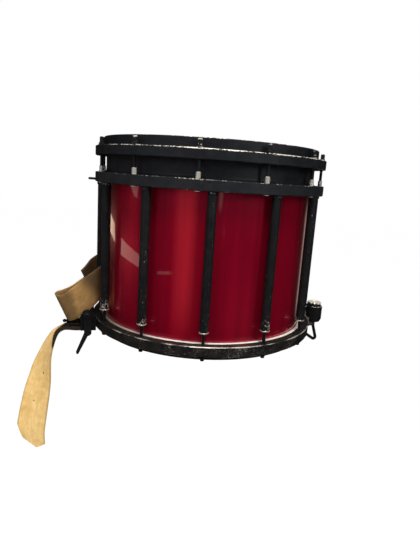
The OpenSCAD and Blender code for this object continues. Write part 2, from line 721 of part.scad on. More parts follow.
module butt_screws() {
  head_t = 2.5;
  color([0.2, 0.2, 0.2]) at_angle(butt_a) {
    plate_screws();
    translate([foot_screw_x, 0, -arm_t]) mirror([0, 0, 1]) small_turned([
      [0, -arm_t - foot_screw_h], [fix_r, -arm_t - foot_screw_h], [fix_r, 0], [fix_r * 1.5, 0],
      [fix_r * 1.5, head_t * 0.6], [fix_r * 1.1, head_t], [0, head_t]]);
  }
}

module butt_housing() {
  foot = 3;
  crown = 2;
  color([0.06, 0.06, 0.07]) at_angle(butt_a) translate([housing_x, 0, 0]) difference() {
    small_turned(concat(
      [[0, 0], [housing_r - foot, 0], [housing_r, foot * 2]],
      arc(housing_r - crown, housing_h - crown, crown, 0, 90), [[0, housing_h]]));
    translate([0, 0, housing_floor]) cylinder(r = cavity_r, h = housing_h - 2 * housing_floor, $fn = small);
    block([-housing_r - 1, -tongue_half - 0.8, housing_floor - 1.5], [0, tongue_half + 0.8, tongue_z1 + 2]);
    translate([0, 0, housing_h - housing_floor - 1])
      cylinder(r = pin_r + bore_gap, h = housing_floor + 2, $fn = small);
    translate([foot_screw_x - housing_x, 0, -1])
      cylinder(r = fix_r + bore_gap, h = foot_screw_h + 1 + bore_gap, $fn = small);
  }
}

// The wheel and screw that raise and lower the snares at the butt
module butt_wheel() {
  notches = 11;
  notch_r = 2.4;
  z0 = housing_h + seat_gap;
  color([0.8, 0.77, 0.7]) at_angle(butt_a) translate([housing_x, 0, 0]) difference() {
    union() {
      translate([0, 0, z0]) small_turned([
        [0, 0], [wheel_r - 0.8, 0], [wheel_r, 0.8], [wheel_r, wheel_h - 1.2], [wheel_r - 1.2, wheel_h],
        [wheel_r * 0.6, wheel_h], [wheel_r * 0.5, wheel_h - 1], [0, wheel_h - 1]]);
      translate([0, 0, housing_floor + 1]) cylinder(r = pin_r, h = z0 - housing_floor, $fn = small);
    }
    for (k = [0:notches - 1]) rotate(k * 360 / notches) translate([wheel_r + 0.9, 0, z0 - 1])
      cylinder(r = notch_r, h = wheel_h + 2, $fn = small);
  }
}

// The slide inside the housing that carries the strands' cross bar
module butt_lifter() {
  z0 = housing_floor + 2;
  color([0.45, 0.44, 0.42]) at_angle(butt_a) difference() {
    union() {
      translate([housing_x, 0, z0]) cylinder(r = lifter_r, h = 10, $fn = small);
      block([bar_at, -tongue_half, tongue_z0 + 1], [housing_x, tongue_half, tongue_z1]);
      translate([bar_at, 0, strand_z]) bar_y(bar_r, -clamp_half, clamp_half);
      translate([bar_at, 0, strand_z]) bar_y(bar_r + 1, -tongue_half, tongue_half);
    }
    translate([housing_x, 0, z0 - 5]) cylinder(r = pin_r + bore_gap, h = 20, $fn = small);
  }
}

// The block that the strands end in, hinged on the cross bar
module butt_end_block() {
  x1 = bar_at + bar_r + 2;
  notch = tongue_half + 0.6;
  color([0.7, 0.69, 0.66]) at_angle(butt_a) difference() {
    block([end_block_x, -clamp_half, strand_z - bar_r - 2], [x1, clamp_half, strand_z + bar_r + 2]);
    block([bar_at - bar_r - 1.6, -notch, strand_z - 9], [x1 + 1, notch, strand_z + 9]);
    translate([bar_at, 0, strand_z]) bar_y(bar_r + bore_gap, -clamp_half - 1, clamp_half + 1);
  }
}

// A round rod bent in the plane of x and z, from its corners and bend radii
module bent_rod(p, r, bend) {
  n = len(p);
  weld = 1.02;
  turn = [for (i = [1:n - 2]) let (a = unit(p[i] - p[i - 1]), b = unit(p[i + 1] - p[i]))
    atan2(a[0] * b[1] - a[1] * b[0], a * b)];
  cut = concat([0], [for (i = [0:n - 3]) bend[i] * tan(abs(turn[i]) / 2)], [0]);
  for (i = [0:n - 2]) {
    d = unit(p[i + 1] - p[i]);
    a = p[i] + d * cut[i];
    b = p[i + 1] - d * cut[i + 1];
    translate([a[0], 0, a[1]]) rotate([0, 90 - atan2(d[1], d[0]), 0])
      cylinder(r = r, h = norm(b - a), $fn = small);
  }
  for (i = [1:n - 2]) {
    d = unit(p[i] - p[i - 1]);
    s = sign(turn[i - 1]);
    start = p[i] - d * cut[i];
    centre = start + s * bend[i - 1] * [-d[1], d[0]];
    translate([centre[0], 0, centre[1]]) rotate([90, 0, 0])
      rotate([0, 0, atan2(d[1], d[0]) - s * 90 - (s < 0 ? abs(turn[i - 1]) : 0)])
      rotate_extrude(angle = abs(turn[i - 1]), $fn = 64)
      translate([bend[i - 1], 0]) circle(r = r, $fn = small);
    for (q = [start, p[i] + unit(p[i + 1] - p[i]) * cut[i]])
      translate([q[0], 0, q[1]]) sphere(r = r * weld, $fn = small);
  }
}

module snare_guard() {
  plate_mid = plate_x - plate_t / 2;
  low_x = housing_x + 14;
  hook_z = -13;
  color([0.05, 0.05, 0.05]) at_angle(butt_a) bent_rod(
    [[guard_x, 1 - arm_t / 2], [low_x, -guard_depth], [plate_mid, hook_z], [plate_mid, -arm_t + 4]],
    guard_r, [4, 7]);
}

module ring_stud() {
  reach = 14;
  nut_r = 3.1;
  color([0.3, 0.3, 0.3]) at_angle(stud_a) translate([0, 0, stud_z]) rotate([0, 90, 0]) union() {
    small_turned([
      [0, ring_r - 8], [stud_r, ring_r - 8], [stud_r, ring_r + reach - 1], [stud_r - 0.7, ring_r + reach],
      [0, ring_r + reach]]);
    translate([0, 0, ring_r]) cylinder(r = nut_r, h = 2.4, $fn = 6);
  }
}

// Where the loop's rivets go through its two layers
module at_rivets() {
  along = unit(loop_route[1] - loop_route[0]);
  face = unit(cross(along, [0, 0, 1]));
  across = cross(face, along);
  middle = loop_route[0] + (loop_route[1] - loop_route[0]) * rivet_along - face * layer_step / 2;
  for (s = [-rivet_drop - rivet_apart / 2, -rivet_drop + rivet_apart / 2])
    translate(middle + across * s) rotate([0, 0, atan2(face[1], face[0])]) rotate([0, 90, 0]) children();
}

module strap_loop() {
  color([0.6, 0.47, 0.29]) at_angle(strainer_a) difference() {
    strap(loop_route, [for (k = loop_lean) [k[0], k[1], 1]], [for (k = loop_lean) 1], 3);
    at_rivets() cylinder(r = rivet_r + bore_gap, h = rivet_bore_h, center = true, $fn = small);
  }
}

module strap_rivets() {
  head_r = rivet_r * 2;
  grip = (layer_step + strap_t) / 2 + 2 * seat_gap;
  color([0.72, 0.62, 0.4]) at_angle(strainer_a) at_rivets() small_turned([
    [0, -grip - 1.2], [head_r * 0.6, -grip - 1.2], [head_r, -grip - 0.4], [head_r, -grip + 0.2],
    [rivet_r, -grip + 0.2], [rivet_r, grip - 0.2], [head_r, grip - 0.2], [head_r, grip + 0.4],
    [head_r * 0.6, grip + 1.2], [0, grip + 1.2]]);
}

module strap_tail() {
  across = [for (i = [0:len(tail_turn) - 1]) [sin(tail_turn[i]), cos(tail_turn[i]), tail_tilt[i]]];
  color([0.84, 0.7, 0.44]) at_angle(strainer_a) difference() {
    strap(tail_route, across, tail_taper, 3);
    for (y = [-strap_screw_y, strap_screw_y]) translate([cheek_x - yoke_t / 2, y, mech_bottom - 2 * strap_t])
      cylinder(r = strap_screw_r + bore_gap, h = 3 * strap_t, $fn = small);
  }
}

module strap_screws() {
  z0 = mech_bottom - 2 * seat_gap - strap_t;
  color([0.75, 0.73, 0.7]) at_angle(strainer_a) for (y = [-strap_screw_y, strap_screw_y])
    translate([cheek_x - yoke_t / 2, y, z0]) small_turned([
      [0, -1.8], [2.4, -1.8], [3.4, -0.8], [3.4, 0], [strap_screw_r, 0],
      [strap_screw_r, strap_t + strap_screw_h], [0, strap_t + strap_screw_h + 1]]);
}

shell();
edge_ring();
top_hoop();
batter_film();
batter_flesh_hoop();
top_washers();
for (i = [1:rod_count]) top_rod(i);
receiver_inserts();
frame_tubes();
tube_screws();
tube_bushes();
for (i = [1:rod_count]) bottom_rod(i);
bottom_washers();
bottom_hoop();
snare_film();
snare_flesh_hoop();
strainer_bracket();
strainer_screws();
strainer_lever();
lever_pin();
snare_carriage();
carriage_plate();
snare_strands();
snare_adjuster();
butt_bracket();
butt_screws();
butt_housing();
butt_wheel();
butt_lifter();
butt_end_block();
snare_guard();
ring_stud();
strap_loop();
strap_rivets();
strap_tail();
strap_screws();
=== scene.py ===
"""Dresses the marching snare drum: worn black hardware, candy red shell and a tan leather strap."""

import logging
import math
from dataclasses import dataclass, field
from enum import Enum
from typing import Any, Optional, Protocol, Sequence, Union

import bmesh
import bpy
from mathutils import Matrix, Vector


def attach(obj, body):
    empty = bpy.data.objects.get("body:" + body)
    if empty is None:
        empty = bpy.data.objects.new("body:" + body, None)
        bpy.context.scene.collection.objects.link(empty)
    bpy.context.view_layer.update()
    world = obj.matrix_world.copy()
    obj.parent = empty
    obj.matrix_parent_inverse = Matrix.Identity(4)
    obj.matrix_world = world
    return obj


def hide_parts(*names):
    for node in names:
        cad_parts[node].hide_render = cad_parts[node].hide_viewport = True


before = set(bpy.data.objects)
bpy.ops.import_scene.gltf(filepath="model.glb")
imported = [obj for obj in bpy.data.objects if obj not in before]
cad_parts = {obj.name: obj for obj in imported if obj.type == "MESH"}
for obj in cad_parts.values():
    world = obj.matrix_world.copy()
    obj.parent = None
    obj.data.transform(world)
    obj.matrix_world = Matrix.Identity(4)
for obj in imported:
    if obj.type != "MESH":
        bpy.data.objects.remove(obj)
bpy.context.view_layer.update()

MM = 0.001
ROD_COUNT = 12
STRAINER_ANGLE = -73.5  # round the drum from the front, in degrees
log = logging.getLogger("drum")

Socket = bpy.types.NodeSocket
Tree = bpy.types.ShaderNodeTree
Material = bpy.types.Material
Piece = bpy.types.Object
Level = Union[Socket, float]
Point = tuple[float, float, float]


def linear(code: str) -> tuple[float, float, float, float]:
    """Turns an sRGB hex colour into linear light.

    Args:
        code: the colour as "#RRGGBB".

    Returns:
        Linear red, green, blue and full alpha.
    """
    shares = [int(code[i:i + 2], 16) / 255 for i in (1, 3, 5)]
    light = [s / 12.92 if s <= 0.04045 else ((s + 0.055) / 1.055) ** 2.4 for s in shares]
    return (light[0], light[1], light[2], 1.0)


def add(tree: Tree, kind: str, links: Optional[dict] = None, out: Union[int, str] = 0,
        **settings: Any) -> Socket:
    """Adds a node with its settings and links.

    Sockets go by number where their names repeat: a colour Mix takes its share at 0 and its colours at 6 and
    7, and gives its result at 2. A Map Range takes its value at 0, the range that it comes from at 1 and 2
    and the range that it goes to at 3 and 4.

    Args:
        tree: the material's node tree.
        kind: the node's type name without its ShaderNode prefix.
        links: input name or number to a socket or a plain value.
        out: name or number of the output that is wanted.
        **settings: the node's own settings.

    Returns:
        The wanted output, or the node itself where it has none.
    """
    node = tree.nodes.new("ShaderNode" + kind)
    for name, value in settings.items():
        setattr(node, name, value)
    for key, value in (links or {}).items():
        if isinstance(value, Socket):
            tree.links.new(value, node.inputs[key])
        else:
            node.inputs[key].default_value = value
    return node.outputs[out] if len(node.outputs) else node


def new_material(name: str) -> tuple[Material, Tree]:
    """Starts an empty node material.

    Args:
        name: the material's name.

    Returns:
        The material and its cleared node tree.
    """
    material = bpy.data.materials.new(name)
    material.use_nodes = True
    material.node_tree.nodes.clear()
    return material, material.node_tree


def radius_and_height(tree: Tree) -> tuple[Socket, Socket, Socket]:
    """Gives a point's place on the drum.

    Args:
        tree: the material's node tree.

    Returns:
        Its Object coordinates, its distance from the drum's axis and its height.
    """
    place = add(tree, "TexCoord", out="Object")
    flat = add(tree, "VectorMath", {0: place, 1: (1, 1, 0)}, operation="MULTIPLY")
    radius = add(tree, "VectorMath", {0: flat}, out="Value", operation="LENGTH")
    height = add(tree, "SeparateXYZ", {0: place}, out="Z")
    return place, radius, height


class Finish(Protocol):
    """Any of the finishes below: a named recipe for a material."""

    @property
    def name(self) -> str:
        """Names the finish."""

    def material(self) -> Material:
        """Builds the material."""


@dataclass(frozen=True)
class WearAndHighlightBand:
    """A ring round the drum where the coat is rubbed through; on some edges it is a painted highlight drawn
    as bare metal.

    Attributes:
        height: height of the ring in mm.
        reach: how far from it the wear goes, in mm.
        amount: how much of the coat is gone there, 0 to 1.
        radius: radius of the ring in mm, or 0 for any radius.
    """

    height: float
    reach: float
    amount: float
    radius: float = 0.0


@dataclass(frozen=True)
class WornBlackCoat:
    """Black powder coat on cast aluminium, chipped by years of use.

    It gives the eye a satin black with a faint orange peel, brownish dust in places, bright ragged lines of
    bare metal along the edges, some of them painted highlights, and small chips on the faces.

    Attributes:
        name: the finish's name.
        coat, dusty, bare: colours of the clean coat, of dust on it and of the metal under it.
        bands: the edges that are rubbed through, and edges painted bright as highlights.
        chips: how many chips the faces have, with 1 for many.
        grain_mm: size of the ragged border of a chip.
        drawn_out: how much longer than wide a chip is, upwards.
        rough: roughness of the clean coat.
        knocked: angle of the side that took most knocks, in degrees, or None where all sides did.
        patch_mm: width of a knocked stretch of edge, about a hand.
        dust_mm: size of the dusty clouds.
        peel_mm: size of the orange peel, coarser than the real one so that it shows.
    """

    name: str = "black_powder_coat_on_aluminium"
    coat: str = "#121416"
    dusty: str = "#1C1B1A"
    bare: str = "#C9C1B2"
    bands: tuple[WearAndHighlightBand, ...] = ()
    chips: float = 0.25
    grain_mm: float = 2.4
    drawn_out: float = 1.0
    rough: float = 0.42
    knocked: Optional[float] = None
    patch_mm: float = 38.0
    dust_mm: float = 14.0
    peel_mm: float = 1.6

    def material(self) -> Material:
        """Builds the coat with its wear.

        Returns:
            The material.
        """
        material, tree = new_material(self.name)
        place, radius, height = radius_and_height(tree)
        stretched = add(tree, "VectorMath", {0: place, 1: (1, 1, 1 / self.drawn_out)}, operation="MULTIPLY")
        ragged = add(tree, "TexNoise", {"Vector": stretched, "Scale": 1 / (self.grain_mm * MM), "Detail": 5.0,
                                        "Roughness": 0.62})
        patch = add(tree, "TexNoise", {"Vector": place, "Scale": 1 / (self.patch_mm * MM), "Detail": 2.0})
        worn: Socket = add(tree, "Math", {0: patch, 1: self.chips * 0.22}, operation="MULTIPLY")
        # Rubbed edges and painted edge highlights, stronger where the drum was knocked
        hit = add(tree, "MapRange", {0: patch, 1: 0.3, 2: 0.62, 3: 0.25, 4: 1.0})
        for band in self.bands:
            low = add(tree, "Math", {0: height, 1: band.height * MM}, operation="SUBTRACT")
            side: Level = 0.0
            if band.radius:
                side = add(tree, "Math", {0: radius, 1: band.radius * MM}, operation="SUBTRACT")
            away = add(tree, "CombineXYZ", {0: side, 1: low})
            away = add(tree, "VectorMath", {0: away}, out="Value", operation="LENGTH")
            near = add(tree, "MapRange", {0: away, 1: 0.0, 2: band.reach * MM, 3: band.amount, 4: 0.0})
            near = add(tree, "Math", {0: near, 1: hit}, operation="MULTIPLY")
            worn = add(tree, "Math", {0: worn, 1: near}, operation="MAXIMUM")
        if self.knocked is not None:
            a = math.radians(self.knocked)
            flat = add(tree, "VectorMath", {0: place, 1: (1, 1, 0)}, operation="MULTIPLY")
            flat = add(tree, "VectorMath", {0: flat}, operation="NORMALIZE")
            facing = add(tree, "VectorMath", {0: flat, 1: (math.sin(a), -math.cos(a), 0)}, out="Value",
                         operation="DOT_PRODUCT")
            # The far side keeps a quarter of the wear
            spared = add(tree, "MapRange", {0: facing, 1: 0.0, 2: 0.85, 3: 0.25, 4: 1.0})
            worn = add(tree, "Math", {0: worn, 1: spared}, operation="MULTIPLY")
        # Bare metal shows where wear, painted edge highlights and grain add up
        depth = add(tree, "Math", {0: worn, 1: ragged}, operation="ADD")
        through = add(tree, "MapRange", {0: depth, 1: 0.80, 2: 0.86, 3: 0.0, 4: 1.0},
                      interpolation_type="SMOOTHSTEP")
        # Dust lightens the coat and dulls it
        dust = add(tree, "TexNoise", {"Vector": place, "Scale": 1 / (self.dust_mm * MM), "Detail": 6.0,
                                      "Roughness": 0.7})
        dust = add(tree, "MapRange", {0: dust, 1: 0.42, 2: 0.72})
        coat = add(tree, "Mix", {0: dust, 6: linear(self.coat), 7: linear(self.dusty)}, out=2,
                   data_type="RGBA")
        colour = add(tree, "Mix", {0: through, 6: coat, 7: linear(self.bare)}, out=2, data_type="RGBA")
        rough = add(tree, "MapRange", {0: dust, 1: 0.0, 2: 1.0, 3: self.rough, 4: self.rough + 0.16})
        # The coat has its orange peel, and the bare spots lie lower
        peel = add(tree, "TexNoise", {"Vector": place, "Scale": 1 / (self.peel_mm * MM), "Detail": 2.0})
        level = add(tree, "Math", {0: through, 1: -0.7}, operation="MULTIPLY")
        level = add(tree, "Math", {0: level, 1: peel}, operation="ADD")
        bump = add(tree, "Bump", {"Strength": 0.22, "Distance": 0.25 * MM, "Height": level})
        bright = add(tree, "Math", {0: through, 1: 0.4}, operation="MULTIPLY")
        skin = add(tree, "BsdfPrincipled", {
            "Base Color": colour, "Metallic": bright, "Roughness": rough, "Normal": bump,
            "Specular IOR Level": 0.18})
        add(tree, "OutputMaterial", {0: skin})
        return material


@dataclass(frozen=True)
class CandyLacquer:
    """Candy red lacquer over a silver base on a maple shell.

    It gives the eye a deep crimson with brighter upright streaks, a faint silver flake and a hard clear
    gloss on top. Fine polishing scratches blur the glow under the gloss a little.

    Attributes:
        name: the finish's name.
        deep, glow: colours of the lacquer between its streaks and in them.
        streak_mm: width of a streak.
        flake_mm: size of a silver flake, coarser than the real one so that it shows.
        scratch_mm: width of a polishing scratch, coarser than the real one so that it shows.
    """

    name: str = "candy_red_lacquer_on_maple"
    deep: str = "#920023"
    glow: str = "#B6002E"
    streak_mm: float = 16.0
    flake_mm: float = 1.2
    scratch_mm: float = 1.8

    def material(self) -> Material:
        """Builds the lacquer.

        Returns:
            The material.
        """
        material, tree = new_material(self.name)
        place = add(tree, "TexCoord", out="Object")
        # Upright streaks, with the flake scattered over them
        tall = add(tree, "VectorMath", {0: place, 1: (1, 1, 0.04)}, operation="MULTIPLY")
        streak = add(tree, "TexNoise", {"Vector": tall, "Scale": 1 / (self.streak_mm * MM), "Detail": 3.0})
        streak = add(tree, "MapRange", {0: streak, 1: 0.3, 2: 0.7})
        flake = add(tree, "TexVoronoi", {"Vector": place, "Scale": 1 / (self.flake_mm * MM)}, out="Color")
        flake = add(tree, "SeparateColor", {0: flake})
        share = add(tree, "Math", {0: flake, 1: 0.05}, operation="MULTIPLY")
        share = add(tree, "Math", {0: streak, 1: share}, operation="ADD")
        colour = add(tree, "Mix", {0: share, 6: linear(self.deep), 7: linear(self.glow)}, out=2,
                     data_type="RGBA")
        # The scratches are mostly upright
        hair = add(tree, "VectorMath", {0: place, 1: (1, 1, 0.12)}, operation="MULTIPLY")
        scratch = add(tree, "TexNoise", {"Vector": hair, "Scale": 1 / (self.scratch_mm * MM), "Detail": 1.0})
        rough = add(tree, "MapRange", {0: scratch, 1: 0.35, 2: 0.75, 3: 0.275, 4: 0.285})
        skin = add(tree, "BsdfPrincipled", {
            "Base Color": colour, "Metallic": 0.62, "Roughness": rough, "Coat Weight": 1.0,
            "Coat Roughness": 0.02, "Coat IOR": 1.5})
        add(tree, "OutputMaterial", {0: skin})
        return material


@dataclass(frozen=True)
class BareMetal:
    """Bare or plated metal, dulled by handling.

    It gives the eye a soft grey shine with darker spots of tarnish, and on wound wire the ridges of its coil.

    Attributes:
        name: the finish's name.
        bright, tarnish: colours of the clean metal and of its spots.
        rough: roughness of the clean metal.
        metallic: how much of a metal's mirror is left.
        spot_mm: size of a spot.
        turned_mm: spacing of the ridges, or 0 for none.
        turn: direction in which the ridges follow each other.
    """

    name: str = "nickel_plated_brass"
    bright: str = "#C8C0B4"
    tarnish: str = "#6F675C"
    rough: float = 0.34
    metallic: float = 0.85
    spot_mm: float = 5.0
    turned_mm: float = 0.0
    turn: Point = (0.0, 0.0, 1.0)

    def material(self) -> Material:
        """Builds the metal.

        Returns:
            The material.
        """
        material, tree = new_material(self.name)
        place = add(tree, "TexCoord", out="Object")
        spots = add(tree, "TexNoise", {"Vector": place, "Scale": 1 / (self.spot_mm * MM), "Detail": 6.0,
                                       "Roughness": 0.7})
        dull = add(tree, "MapRange", {0: spots, 1: 0.48, 2: 0.78})
        colour = add(tree, "Mix", {0: dull, 6: linear(self.bright), 7: linear(self.tarnish)}, out=2,
                     data_type="RGBA")
        rough = add(tree, "MapRange", {0: dull, 1: 0.0, 2: 1.0, 3: self.rough, 4: self.rough + 0.22})
        level = spots
        if self.turned_mm:
            along = add(tree, "VectorMath", {0: place, 1: self.turn}, out="Value", operation="DOT_PRODUCT")
            turns = add(tree, "Math", {0: along, 1: 2 * math.pi / (self.turned_mm * MM)},
                        operation="MULTIPLY")
            level = add(tree, "Math", {0: turns}, operation="SINE")
        bump = add(tree, "Bump", {"Strength": 0.3, "Distance": 0.12 * MM, "Height": level})
        skin = add(tree, "BsdfPrincipled", {
            "Base Color": colour, "Metallic": self.metallic, "Roughness": rough, "Normal": bump})
        add(tree, "OutputMaterial", {0: skin})
        return material


@dataclass(frozen=True)
class WhiteCoat:
    """White stove enamel on the snare head's hoop.

    It gives the eye a creamy satin white with dark specks of soiling, and painted shade all over on the
    strainer's side, where the strap and strainer shadow it.

    Attributes:
        name: the finish's name.
        clean, grime_and_shade: its two colours, the second for the specks and for the painted shade.
        shaded_side: angle of the side with painted shade, in degrees.
        shade_mm: distances towards that side at which the painted shade begins and is full.
        speck_mm: size of the clouds of specks.
    """

    name: str = "white_enamel_on_aluminium"
    clean: str = "#F0EADD"
    grime_and_shade: str = "#7C7265"
    shaded_side: float = -80.0
    shade_mm: tuple[float, float] = (80.0, 160.0)
    speck_mm: float = 9.0

    def material(self) -> Material:
        """Builds the enamel.

        Returns:
            The material.
        """
        material, tree = new_material(self.name)
        place = add(tree, "TexCoord", out="Object")
        spots = add(tree, "TexNoise", {"Vector": place, "Scale": 1 / (self.speck_mm * MM), "Detail": 7.0,
                                       "Roughness": 0.72})
        dirt_and_shade = add(tree, "MapRange", {0: spots, 1: 0.52, 2: 0.82, 3: 0.0, 4: 0.8})
        # Painted shade over one side, in the specks' dark colour
        a = math.radians(self.shaded_side)
        away = add(tree, "VectorMath", {0: place, 1: (math.sin(a), -math.cos(a), 0)}, out="Value",
                   operation="DOT_PRODUCT")
        side = add(tree, "MapRange", {0: away, 1: self.shade_mm[0] * MM, 2: self.shade_mm[1] * MM})
        dirt_and_shade = add(tree, "Math", {0: dirt_and_shade, 1: side}, operation="MAXIMUM")
        colour = add(tree, "Mix", {0: dirt_and_shade, 6: linear(self.clean), 7: linear(self.grime_and_shade)}, out=2,
                     data_type="RGBA")
        bump = add(tree, "Bump", {"Strength": 0.1, "Distance": 0.1 * MM, "Height": spots})
        skin = add(tree, "BsdfPrincipled", {"Base Color": colour, "Roughness": 0.4, "Normal": bump})
        add(tree, "OutputMaterial", {0: skin})
        return material


@dataclass(frozen=True)
class WovenHead:
    """Woven aramid head with a thin clear coat, as marching drums have.

    It gives the eye a tight cream weave with a greyed playing spot in the middle.

    Attributes:
        name: the finish's name.
        yarn, gap, marks: colours of the yarn, of the gaps between and of the stick marks.
        yarn_mm: spacing of the yarns, coarser than the real one so that it shows.
        marked_mm: radii where the stick marks are full and where they end.
        smear_mm: size of the smears in the marks.
    """

    name: str = "woven_aramid_head"
    yarn: str = "#D9CFB4"
    gap: str = "#A99C7D"
    marks: str = "#8A8378"
    yarn_mm: float = 2.4
    marked_mm: tuple[float, float] = (20.0, 90.0)
    smear_mm: float = 7.0

    def material(self) -> Material:
        """Builds the weave and its playing spot.

        Returns:
            The material.
        """
        material, tree = new_material(self.name)
        place, radius, _ = radius_and_height(tree)
        # Two crossed waves make the weave
        waves = []
        for axis in "XY":
            along = add(tree, "SeparateXYZ", {0: place}, out=axis)
            turns = add(tree, "Math", {0: along, 1: math.pi / (self.yarn_mm * MM)}, operation="MULTIPLY")
            waves.append(add(tree, "Math", {0: turns}, operation="SINE"))
        weave = add(tree, "Math", {0: waves[0], 1: waves[1]}, operation="MULTIPLY")
        share = add(tree, "MapRange", {0: weave, 1: -1.0, 2: 1.0})
        cloth = add(tree, "Mix", {0: share, 6: linear(self.yarn), 7: linear(self.gap)}, out=2,
                    data_type="RGBA")
        # The sticks' smears, strongest in the middle
        spot = add(tree, "MapRange", {0: radius, 1: self.marked_mm[0] * MM, 2: self.marked_mm[1] * MM,
                                      3: 0.75, 4: 0.0})
        smear = add(tree, "TexNoise", {"Vector": place, "Scale": 1 / (self.smear_mm * MM), "Detail": 5.0})
        spot = add(tree, "Math", {0: spot, 1: smear}, operation="MULTIPLY")
        colour = add(tree, "Mix", {0: spot, 6: cloth, 7: linear(self.marks)}, out=2, data_type="RGBA")
        bump = add(tree, "Bump", {"Strength": 0.35, "Distance": 0.15 * MM, "Height": weave})
        skin = add(tree, "BsdfPrincipled", {"Base Color": colour, "Roughness": 0.5, "Normal": bump})
        add(tree, "OutputMaterial", {0: skin})
        return material


@dataclass(frozen=True)
class HazyFilm:
    """Thin hazy polyester film of the snare side, smooth with faint cloudy patches.

    Attributes:
        name: the finish's name.
        clear, cloud: its two colours.
        cloud_mm: size of the cloudy patches.
    """

    name: str = "hazy_polyester_film"
    clear: str = "#E9E5DA"
    cloud: str = "#CFCABD"
    cloud_mm: float = 45.0

    def material(self) -> Material:
        """Builds the film.

        Returns:
            The material.
        """
        material, tree = new_material(self.name)
        place = add(tree, "TexCoord", out="Object")
        haze = add(tree, "TexNoise", {"Vector": place, "Scale": 1 / (self.cloud_mm * MM), "Detail": 4.0})
        colour = add(tree, "Mix", {0: haze, 6: linear(self.clear), 7: linear(self.cloud)}, out=2,
                     data_type="RGBA")
        skin = add(tree, "BsdfPrincipled", {"Base Color": colour, "Roughness": 0.24})
        add(tree, "OutputMaterial", {0: skin})
        return material


@dataclass(frozen=True)
class PaintedShade:
    """A stretch of the strap painted darker: painted shade where the strap lies in shadow.

    Attributes:
        start: distance along the strap's middle where it begins, in mm.
        end: distance where it ends, in mm.
        slant: how far its ends move along for each mm across.
        soft: half the length of its fading ends, in mm.
        colour: its colour.
        amount: how much of the hide's own colour it covers, 0 to 1.
    """

    start: float
    end: float
    slant: float
    soft: float
    colour: str
    amount: float


